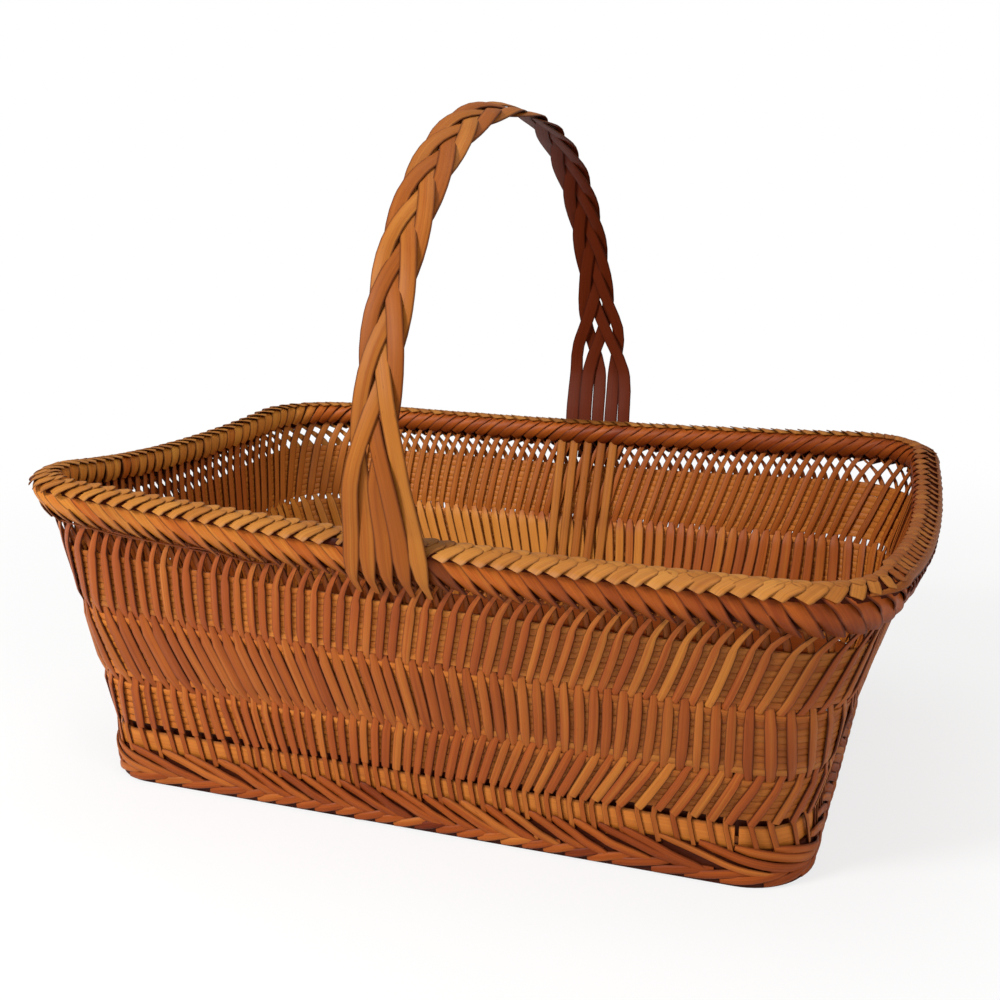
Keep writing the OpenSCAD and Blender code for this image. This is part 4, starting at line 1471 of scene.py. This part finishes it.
@dataclass
class Foot:
    """Flat hoop, core and plaited border of the foot.

    Attributes:
        shop: What the sub-assemblies share.
        hoop_thick: Thickness of the flat hoop.
        strand_width, strand_thick: Width and thickness of a long strand.
        short_width, short_thick: Width and thickness of a short strand.
        run_stations, short_stations: How far a long and a short strand run on round the foot.
        hoop, strands, inner: Finishes of the hoop, of the strands and of the dark hoop inside, whose colour is
            painted shade.
    """

    shop: Workshop
    hoop_thick: float = 1.5
    strand_width: float = 5.0
    strand_thick: float = 1.1
    short_width: float = 4.4
    short_thick: float = 1.0
    run_stations: float = 5.4
    short_stations: float = 3.4
    hoop: StripFinish = StripFinish("foot_hoop_strip", dark=srgb(142, 71, 23), middle=srgb(186, 106, 40),
                                    pale=srgb(206, 132, 54), stain=0.25)
    strands: StripFinish = StripFinish("foot_border_strip", dark=srgb(104, 38, 10), middle=srgb(154, 73, 23),
                                       pale=srgb(190, 112, 44))
    # Painted shade: the inner hoop's dark colour stands for the shade in the gaps above the outer hoop.
    inner: StripFinish = StripFinish("foot_inner_strip", dark=srgb(60, 22, 8), middle=srgb(96, 40, 14),
                                     pale=srgb(130, 62, 24))

    def build(self, frame: dict) -> None:
        """Builds the hoops and the border strands.
        """
        self._hoop()
        self._inner_hoop()
        self._long_strands()
        self._short_strands()
        self.shop.dress_solid(frame, "foot_core", CoreFinish("foot_core"))

    def _hoop(self) -> None:
        """Flat hoop with its two ends at the right of the front."""
        shape = self.shop.shape
        q = shape.stakes_long + 0.2 + np.linspace(0.0, shape.stations - 0.25, 260)[None, :]
        z = shape.foot_height - shape.hoop_height / 2 - 0.2
        run = StripRun(shape.place(q, z, 0.1), shape.normal(q, z), shape.hoop_height - 1.0, self.hoop_thick,
                       np.array([0.55]), crown=0.012)
        self.shop.make("foot_hoop_strip", [run], self.hoop, "foot_strip", "foot_hoop")

    def _inner_hoop(self) -> None:
        """Hoop inside the wall's foot, seen only through the gaps above the outer one, dark as painted shade there.
        """
        shape = self.shop.shape
        q = np.linspace(0.0, shape.stations + 0.3, 300)[None, :]
        z = shape.foot_height - 1.0
        run = StripRun(shape.place(q, z, -3.4), shape.normal(q, z), 14.0, 1.1, np.array([0.3]), crown=0.0)
        self.shop.make("foot_inner_hoop", [run], self.inner, "foot_strip")

    def _long_strands(self) -> None:
        """Strands that sweep down and on from the foot of each pair of stakes."""
        shape, shop, rng = self.shop.shape, self.shop, self.shop.rng
        count = shape.stations // 2
        share = np.linspace(0.0, 1.0, 18)
        span = self.run_stations * (1 + rng.normal(0.0, 0.07, (count, 1)))
        q = (np.arange(count) * 2.0)[:, None] + 0.6 + span * share + rng.normal(0.0, 0.16, (count, 1))
        z = mix(shape.hoop_bottom + 1.6, 6.2, ease(share) * 0.35 + share * 0.65) + rng.normal(0.0, 0.35, (count, 1))
        off = np.interp(share, [0.0, 0.15, 0.6, 1.0], [1.4, 2.3, 3.1, 1.6]) + rng.normal(0.0, 0.12, (count, 1))
        q = shape.drawn(q, z)
        widths = self.strand_width * np.interp(share, [0.0, 0.1, 0.85, 1.0], [0.6, 1.0, 1.0, 0.5])
        widths = widths * (1 + rng.normal(0.0, 0.08, (count, 1)))
        run = StripRun(shape.place(q, z, off), shape.normal(q, z), widths, self.strand_thick,
                       shop.tones(count, 0.5, 0.15), rolls=-0.16, crown=0.08)
        shop.make("foot_strands_long_strips", [run], self.strands, "foot_strip", "foot_strands_long")

    def _short_strands(self) -> None:
        """Short strands that come back up under the long ones along the ground."""
        shape, shop, rng = self.shop.shape, self.shop, self.shop.rng
        count = shape.stations // 2
        share = np.linspace(0.0, 1.0, 10)
        q = (np.arange(count) * 2.0)[:, None] + self.short_stations * share + rng.normal(0.0, 0.1, (count, 1))
        z = mix(2.4, 8.2, share) + rng.normal(0.0, 0.2, (count, 1))
        off = np.interp(share, [0.0, 0.4, 1.0], [1.6, 2.6, 1.5]) + rng.normal(0.0, 0.1, (count, 1))
        q = shape.drawn(q, z)
        widths = self.short_width * np.interp(share, [0.0, 0.2, 0.8, 1.0], [0.7, 1.0, 1.0, 0.4])
        run = StripRun(shape.place(q, z, off), shape.normal(q, z), widths, self.short_thick,
                       shop.tones(count, 0.45, 0.2), rolls=0.12, crown=0.08)
        shop.make("foot_strands_short_strips", [run], self.strands, "foot_strip", "foot_strands_short")


@dataclass
class FloorMat:
    """Plain mat of wide strips, crossing over and under inside the foot.

    Attributes:
        shop: What the sub-assemblies share.
        strip_width, thick: Width and thickness of a strip.
        pitch: Distance from strip to strip.
        height: Height of the mat's middle above the ground.
        lift: How far a strip rises and falls at the crossings.
        inset: Distance of the strips' ends from the foot's middle line.
        finish: Finish of the strips.
    """

    shop: Workshop
    strip_width: float = 22.6
    thick: float = 1.0
    pitch: float = 27.0
    height: float = 7.0
    lift: float = 0.62
    inset: float = 3.6
    finish: StripFinish = StripFinish("floor_strip", dark=srgb(128, 62, 20), middle=srgb(172, 98, 38),
                                      pale=srgb(198, 128, 58))

    def build(self) -> None:
        """Builds both directions of the mat."""
        shape = self.shop.shape
        half_long, half_wide = shape.foot_length / 2 - self.inset, shape.foot_width / 2 - self.inset
        self._strips("floor_lengthwise", half_long, half_wide, False)
        self._strips("floor_crosswise", half_wide, half_long, True)

    def _strips(self, node: str, half_run: float, half_across: float, turned: bool) -> None:
        """All the strips of one direction, each as long as the rounded corners let it be.

        Args:
            node: Solid that the strips stand for.
            half_run: Half the mat's size along the strips.
            half_across: Half its size across them.
            turned: Whether they run crosswise, which also makes them start the other way up.
        """
        shape = self.shop.shape
        radius = shape.foot_radius - self.inset
        count = int((2 * half_across - self.strip_width) // self.pitch)
        places = (np.arange(count) - (count - 1) / 2) * self.pitch
        beyond = np.maximum(0.0, np.abs(places) + self.strip_width / 2 - (half_across - radius))
        reach = half_run - radius + np.sqrt(np.maximum(0.0, radius ** 2 - beyond ** 2))
        run_x = reach[:, None] * np.linspace(-1.0, 1.0, 90)
        crossings = int((2 * half_run - self.strip_width) // self.pitch)
        phase = np.pi * (run_x / self.pitch + (crossings - 1) / 2)
        sense = np.where(np.arange(count) % 2 == int(turned), 1.0, -1.0)[:, None]
        rise = self.lift * sense * np.clip(1.7 * np.cos(phase), -1.0, 1.0)
        across = np.broadcast_to(places[:, None], run_x.shape)
        x, y = (across, run_x) if turned else (run_x, across)
        points = np.stack([x - shape.foot_left, y - shape.foot_forward, self.height + rise], axis=-1)
        normals = np.broadcast_to(np.array([0.0, 0.0, 1.0]), points.shape)
        run = StripRun(points, normals, self.strip_width, self.thick, self.shop.tones(count, 0.5, 0.2), crown=0.0)
        self.shop.make(f"{node}_strips", [run], self.finish, "floor_strip", node)


@dataclass
class Handle:
    """Carrying handle of five plaited strips, with their tails inside the long walls.

    Places along the handle are told by an angle, 0 at the front end of the arch and 180 at the back
    end, which runs on down the legs.

    Attributes:
        shop: What the sub-assemblies share.
        strands: Strips in the plait.
        height, half_width: Height of the arch and half its width.
        strip_width, strip_thick, rings: Width and thickness of a strip, and its rings.
        swing, weave_depth: How far a strip swings sideways and in and out in the plait.
        plait_turns, plait_from: Turns of the plait, and the angle at which it starts.
        linger: How long a strip stays out at the plait's edges.
        fan_pitch: Distance from strip to strip in the fan.
        fan_front, fan_back: Angles between which the plait opens to the fan, at each end.
        fan_soft: Share of a soft step that is left out at each end of the opening.
        skew: Lean of the two ends to one side.
        leg_rise, foot_drop: How far the legs bend over above the rail, and where they end below it.
        power: Roundness of the arch, 1 for a half ellipse.
        rail_half: Half the thickness of the rail.
        tilt, bank: Turn of the strips in the plait and of the whole plait at the crest, in radians.
        tail_width, tail_thick, tail_off: Width and thickness of a tail, and its offset from the wall.
        finish, tail_finish: Finishes of the strips and of their tails. The strips' dark pith colour is painted
            shade on the handle's underside.
    """

    shop: Workshop
    strands: int = 5
    height: float = 369.5
    half_width: float = 181.0
    strip_width: float = 8.2
    strip_thick: float = 0.9
    rings: int = 170
    swing: float = 8.2
    weave_depth: float = 1.6
    plait_turns: float = 3.2
    plait_from: float = 8.0
    linger: float = 0.35
    fan_pitch: float = 9.4
    fan_front: tuple[float, float] = (17.0, -5.0)
    fan_back: tuple[float, float] = (24.0, 4.0)
    fan_soft: float = 0.15
    skew: float = 2.0
    leg_rise: float = 34.0
    foot_drop: float = 31.0
    power: float = 0.89
    rail_half: float = 7.3
    tilt: float = 0.06
    bank: float = math.radians(16.0)
    tail_width: float = 6.0
    tail_thick: float = 1.1
    tail_off: float = -2.75
    # Painted shade: the dark pith colour covers the whole side away from the skin, for the arch's unlit underside.
    finish: StripFinish = StripFinish("handle_strip", dark=srgb(120, 58, 18), middle=srgb(150, 80, 24),
                                      pale=srgb(182, 116, 46), pith=srgb(98, 36, 11), rough=0.5, shine=0.12,
                                      fibre=0.3, pith_share=1.0, edge_share=0.75)
    tail_finish: StripFinish = StripFinish("handle_tail_strip", dark=srgb(132, 66, 22), middle=srgb(170, 98, 37),
                                           pale=srgb(194, 126, 54))

    def build(self) -> None:
        """Builds the strands and the tails."""
        shape = self.shop.shape
        self.spring = shape.rim_height - shape.sag_long
        self.rate = (self.height - self.spring) * math.pi / 180
        self.foot = shape.rim_height - self.foot_drop
        self.leg_angle = (self.spring - self.foot) / self.rate
        for i in range(1, self.strands + 1):
            self._strand(i)
        for side, node in ((-1, "handle_tails_front"), (1, "handle_tails_back")):
            self._tails(side, node)

    def _mid_station(self, side: int) -> float:
        """Middle station of the front wall, side -1, or the back wall, side 1."""
        shape = self.shop.shape
        return shape.stakes_long / 2 + (0 if side < 0 else shape.half)

    def _crest(self, side: int) -> float:
        """Height of the rim's top under one end of the handle."""
        return float(self.shop.shape.crest(np.array([self._mid_station(side)]))[0])

    def _leg_y(self, z: np.ndarray, side: int) -> np.ndarray:
        """Distance of a leg from the middle plane.

        Args:
            z: Heights.
            side: -1 for the front, 1 for the back.

        Returns:
            One distance for each height.
        """
        shape, crest = self.shop.shape, self._crest(side)
        foot = abs(float(shape.place(self._mid_station(side), self.foot, 3.4)[1]))
        rail = shape.rim_width / 2 + shape.bow_long + self.rail_half + self.strip_thick / 2
        return np.interp(z, [self.foot, crest - shape.border_height, crest, crest + self.leg_rise],
                         [foot, rail, rail, self.half_width])

    def _arch(self, u: np.ndarray) -> np.ndarray:
        """Middle line of the handle.

        Args:
            u: Angles along the handle.

        Returns:
            One point for each angle.
        """
        v = np.radians(np.clip(u, 0.0, 180.0))
        below = np.maximum(np.maximum(-u, u - 180.0), 0.0)
        side = np.where(u < 90.0, -1.0, 1.0)
        flat = np.abs(np.cos(v)) ** self.power
        z = self.spring + (self.height - self.spring) * np.sin(v) ** self.power - below * self.rate
        leg = np.where(side < 0, self._leg_y(z, -1), self._leg_y(z, 1))
        y = side * self.half_width * flat - side * (self.half_width - leg)
        return np.stack([side * self.skew * np.cos(v) ** 2, y, z], axis=-1)

    def _banked(self, u: np.ndarray) -> tuple[np.ndarray, np.ndarray]:
        """Directions across the handle, turned by its bank.

        Args:
            u: Angles along the handle.

        Returns:
            The direction away from the room under the arch, and the one to the handle's right.
        """
        right = np.array([[1.0, 0.0, 0.0]])
        out = np.cross(right, unit(self._arch(u + 0.5) - self._arch(u - 0.5)))
        crest = np.clip(np.sin(np.radians(np.clip(u, 0.0, 180.0))), 0.0, 1.0)
        bank = (self.bank * crest ** 3)[:, None]
        return out * np.cos(bank) + right * np.sin(bank), right * np.cos(bank) - out * np.sin(bank)

    def _fanned(self, u: np.ndarray) -> np.ndarray:
        """How far the plait has opened to the fan.

        Args:
            u: Angles along the handle.

        Returns:
            A share from 0 to 1 for each angle.
        """
        up = np.where(u < 90, u, 180 - u)
        start, end = (np.where(u < 90, front, back) for front, back in zip(self.fan_front, self.fan_back))
        low, high = self.fan_soft, 1 - self.fan_soft
        share = ease(mix(low, high, np.clip((start - up) / (start - end), 0.0, 1.0)))
        return (share - ease(low)) / (ease(high) - ease(low))

    def _strand(self, i: int) -> None:
        """One strand from rail to rail.

        Args:
            i: Number of the strand, from 1.
        """
        u = np.linspace(-self.leg_angle, 180 + self.leg_angle, self.rings)
        up = np.where(u < 90, u, 180 - u)
        rail_up = (np.where(u < 90, self._crest(-1), self._crest(1)) - self.spring) / self.rate
        v = np.clip(u, self.plait_from, 180 - self.plait_from)
        turned = np.radians(360 * self.plait_turns * (v - self.plait_from) / (180 - 2 * self.plait_from)
                            + 360 * i / self.strands)
        plait = self.swing * np.tanh(self.linger * np.sin(turned)) / math.tanh(self.linger)
        fan = self.fan_pitch * self.strands / math.pi * np.arcsin(np.sin(turned))
        lift = np.sqrt(np.clip((up - rail_up) / (self.plait_from - rail_up), 0.0, 1.0))
        depth = lift * self.weave_depth * np.sin(2 * turned)
        out, flat = self._banked(u)
        points = self._arch(u) - depth[:, None] * out + mix(plait, fan, self._fanned(u))[:, None] * flat
        points = smoothed(points, 6)
        share = np.linspace(0.0, 1.0, self.rings)
        tip = np.minimum(share, 1 - share)
        widths = self.strip_width * (0.3 + 0.7 * ease(tip * self.rings / 5.0)) * (1 + 0.04 * np.sin(share * 19 + i))
        widths = widths * (1 + 0.1 * ease((0.1 - tip) / 0.04))
        run = StripRun(points[None], out[None], widths, self.strip_thick, self.shop.tones(1, 0.55, 0.12),
                       rolls=-self.tilt * np.cos(turned) * lift, crown=0.02)
        node = f"handle_strand_{i}"
        self.shop.make(f"{node}_strip", [run], self.finish, "handle_strip", node)

    def _tails(self, side: int, node: str) -> None:
        """Flat tails of the strands inside one long wall.

        Args:
            side: -1 for the front, 1 for the back.
            node: Solid that the tails stand for.
        """
        shape, shop, rng = self.shop.shape, self.shop, self.shop.rng
        mid = self._mid_station(side)
        pace = float(np.linalg.norm(shape.along(mid, self.foot)))
        share = np.linspace(0.0, 1.0, 24)
        index = np.arange(self.strands)[:, None] - (self.strands - 1) / 2
        q = mid + index * self.fan_pitch / pace + rng.normal(0.0, 0.05, (self.strands, 1)) * share
        z = mix(shape.foot_height + 10.0, shape.rim_height - 13.5, share)
        widths = self.tail_width * np.interp(share, [0.0, 0.12, 1.0], [0.5, 1.0, 1.0])
        run = StripRun(shape.place(q, z, self.tail_off), -shape.normal(q, z), widths, self.tail_thick,
                       shop.tones(self.strands, 0.6, 0.15))
        shop.make(f"{node}_strips", [run], self.tail_finish, "handle_strip", node)


@dataclass
class Studio:
    """White studio with a soft light near the camera, and the camera at the photograph's angle.

    Attributes:
        place: Place of the camera, in metres.
        yaw, pitch, roll: Turn of the camera, in radians.
        lens, sensor: Focal length and sensor width, in millimetres.
        ambient: Strength of the world's light on the basket.
        lamps: Name, place, aim, size and power of each lamp.
    """

    place: tuple[float, float, float] = (0.2592, -0.70707, 0.3416)
    yaw: float = 0.3609
    pitch: float = 0.2525
    roll: float = -0.0115
    lens: float = 47.24
    sensor: float = 36.0
    ambient: float = 0.33
    lamps: tuple[tuple, ...] = (
        ("key_lamp", (-0.8, -1.05, 1.0), (0.0, 0.0, 0.12), 0.4, 20.0),
        ("fill_lamp", (1.3, -0.8, 1.1), (0.0, 0.0, 0.12), 1.0, 9.5),
        ("top_lamp", (-0.1, 0.1, 1.9), (0.0, 0.0, 0.1), 1.2, 9.0),
    )

    def build(self) -> None:
        """Sets up the camera, the lamps, the world and the floor."""
        self._camera()
        for lamp in self.lamps:
            self._lamp(*lamp)
        self._world()
        self._floor()
        bpy.context.scene.view_settings.view_transform = "Standard"

    def _camera(self) -> None:
        """Adds the camera."""
        data = bpy.data.cameras.new("camera")
        data.lens, data.sensor_width = self.lens, self.sensor
        data.clip_start, data.clip_end = 0.01, 20.0
        camera = bpy.data.objects.new("camera", data)
        bpy.context.scene.collection.objects.link(camera)
        forward = Vector((-math.sin(self.yaw) * math.cos(self.pitch), math.cos(self.yaw) * math.cos(self.pitch),
                          -math.sin(self.pitch)))
        right = Vector((math.cos(self.yaw), math.sin(self.yaw), 0.0))
        up = right.cross(forward)
        right, up = (right * math.cos(self.roll) + up * math.sin(self.roll),
                     up * math.cos(self.roll) - right * math.sin(self.roll))
        turn = Matrix((right, up, -forward)).transposed().to_4x4()
        camera.matrix_world = Matrix.Translation(self.place) @ turn
        bpy.context.scene.camera = camera

    @staticmethod
    def _lamp(name: str, place: tuple, aim: tuple, size: float, watts: float) -> None:
        """Adds one square soft lamp.

        Args:
            name: Name of the lamp.
            place: Where it stands, in metres.
            aim: Place that it points at.
            size: Length of its sides.
            watts: Its power.
        """
        data = bpy.data.lights.new(name, "AREA")
        data.shape, data.size, data.energy = "SQUARE", size, watts
        lamp = bpy.data.objects.new(name, data)
        bpy.context.scene.collection.objects.link(lamp)
        lamp.location = place
        lamp.rotation_euler = (Vector(aim) - Vector(place)).to_track_quat("-Z", "Y").to_euler()

    def _world(self) -> None:
        """White surroundings that light the basket a little and show as plain white."""
        world = bpy.data.worlds.new("studio")
        bpy.context.scene.world = world
        bench = NodeBench(world)
        bench.tree.nodes.clear()
        path = bench.add("ShaderNodeLightPath")
        seen = bench.add("ShaderNodeMath", {"operation": "MAXIMUM"},
                         {0: path.outputs["Is Camera Ray"], 1: path.outputs["Is Transmission Ray"]})
        plain = bench.add("ShaderNodeBackground", {}, {"Color": (1.0, 1.0, 1.0, 1.0), "Strength": 1.0})
        lit = bench.add("ShaderNodeBackground", {}, {"Color": (1.0, 0.98, 0.95, 1.0), "Strength": self.ambient})
        choose = bench.add("ShaderNodeMixShader", {}, {0: seen.outputs[0], 1: lit.outputs[0], 2: plain.outputs[0]})
        bench.add("ShaderNodeOutputWorld", {}, {"Surface": choose.outputs[0]})

    @staticmethod
    def _floor() -> None:
        """Adds the white floor, which keeps the basket's shadow."""
        bpy.ops.object.select_all(action="DESELECT")
        bpy.ops.mesh.primitive_plane_add(size=14.0, location=(0.0, 0.0, 0.0))
        floor = bpy.context.active_object
        floor.name = "studio_floor"
        bench = NodeBench(bpy.data.materials.new("studio_floor"))
        bench.wire("Base Color", (0.86, 0.86, 0.86, 1.0))
        bench.wire("Roughness", 0.9)
        seen = Signal(bench, bench.add("ShaderNodeLightPath").outputs["Is Camera Ray"])
        glow = bench.add("ShaderNodeEmission", {}, {"Color": (1.0, 1.0, 1.0, 1.0), "Strength": 1.0})
        place = bench.object_coordinates()
        away = bench.add("ShaderNodeVectorMath", {"operation": "LENGTH"}, {0: place})
        parts = bench.add("ShaderNodeSeparateXYZ", {}, {0: place})
        share = Signal(bench, away.outputs["Value"]).between(0.3, 0.95) * 0.26 + 0.74
        beside_x = abs(Signal(bench, parts.outputs["X"]) + 0.006).between(0.18, 0.196)
        beside_y = abs(Signal(bench, parts.outputs["Y"]) + 0.002).between(0.112, 0.129)
        share = share * (1.0 - (1.0 - beside_x) * (1.0 - beside_y))
        choose = bench.add("ShaderNodeMixShader", {}, {0: seen * share, 1: bench.shader.outputs[0],
                                                       2: glow.outputs[0]})
        bench.tree.links.new(choose.outputs[0], bench.tree.nodes["Material Output"].inputs["Surface"])
        floor.data.materials.append(bench.owner)


def main() -> None:
    """Builds the dressed basket and its studio."""
    logging.basicConfig(level=logging.INFO, format="%(name)s: %(message)s")
    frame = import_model()
    rng = np.random.default_rng(1705)
    shop = Workshop(BasketShape(), rng, StripLayer(rng))
    FloorMat(shop).build()
    Foot(shop).build(frame)
    Wall(shop).build()
    RimBorder(shop).build()
    Handle(shop).build()
    Studio().build()


if __name__ == "__main__":
    main()
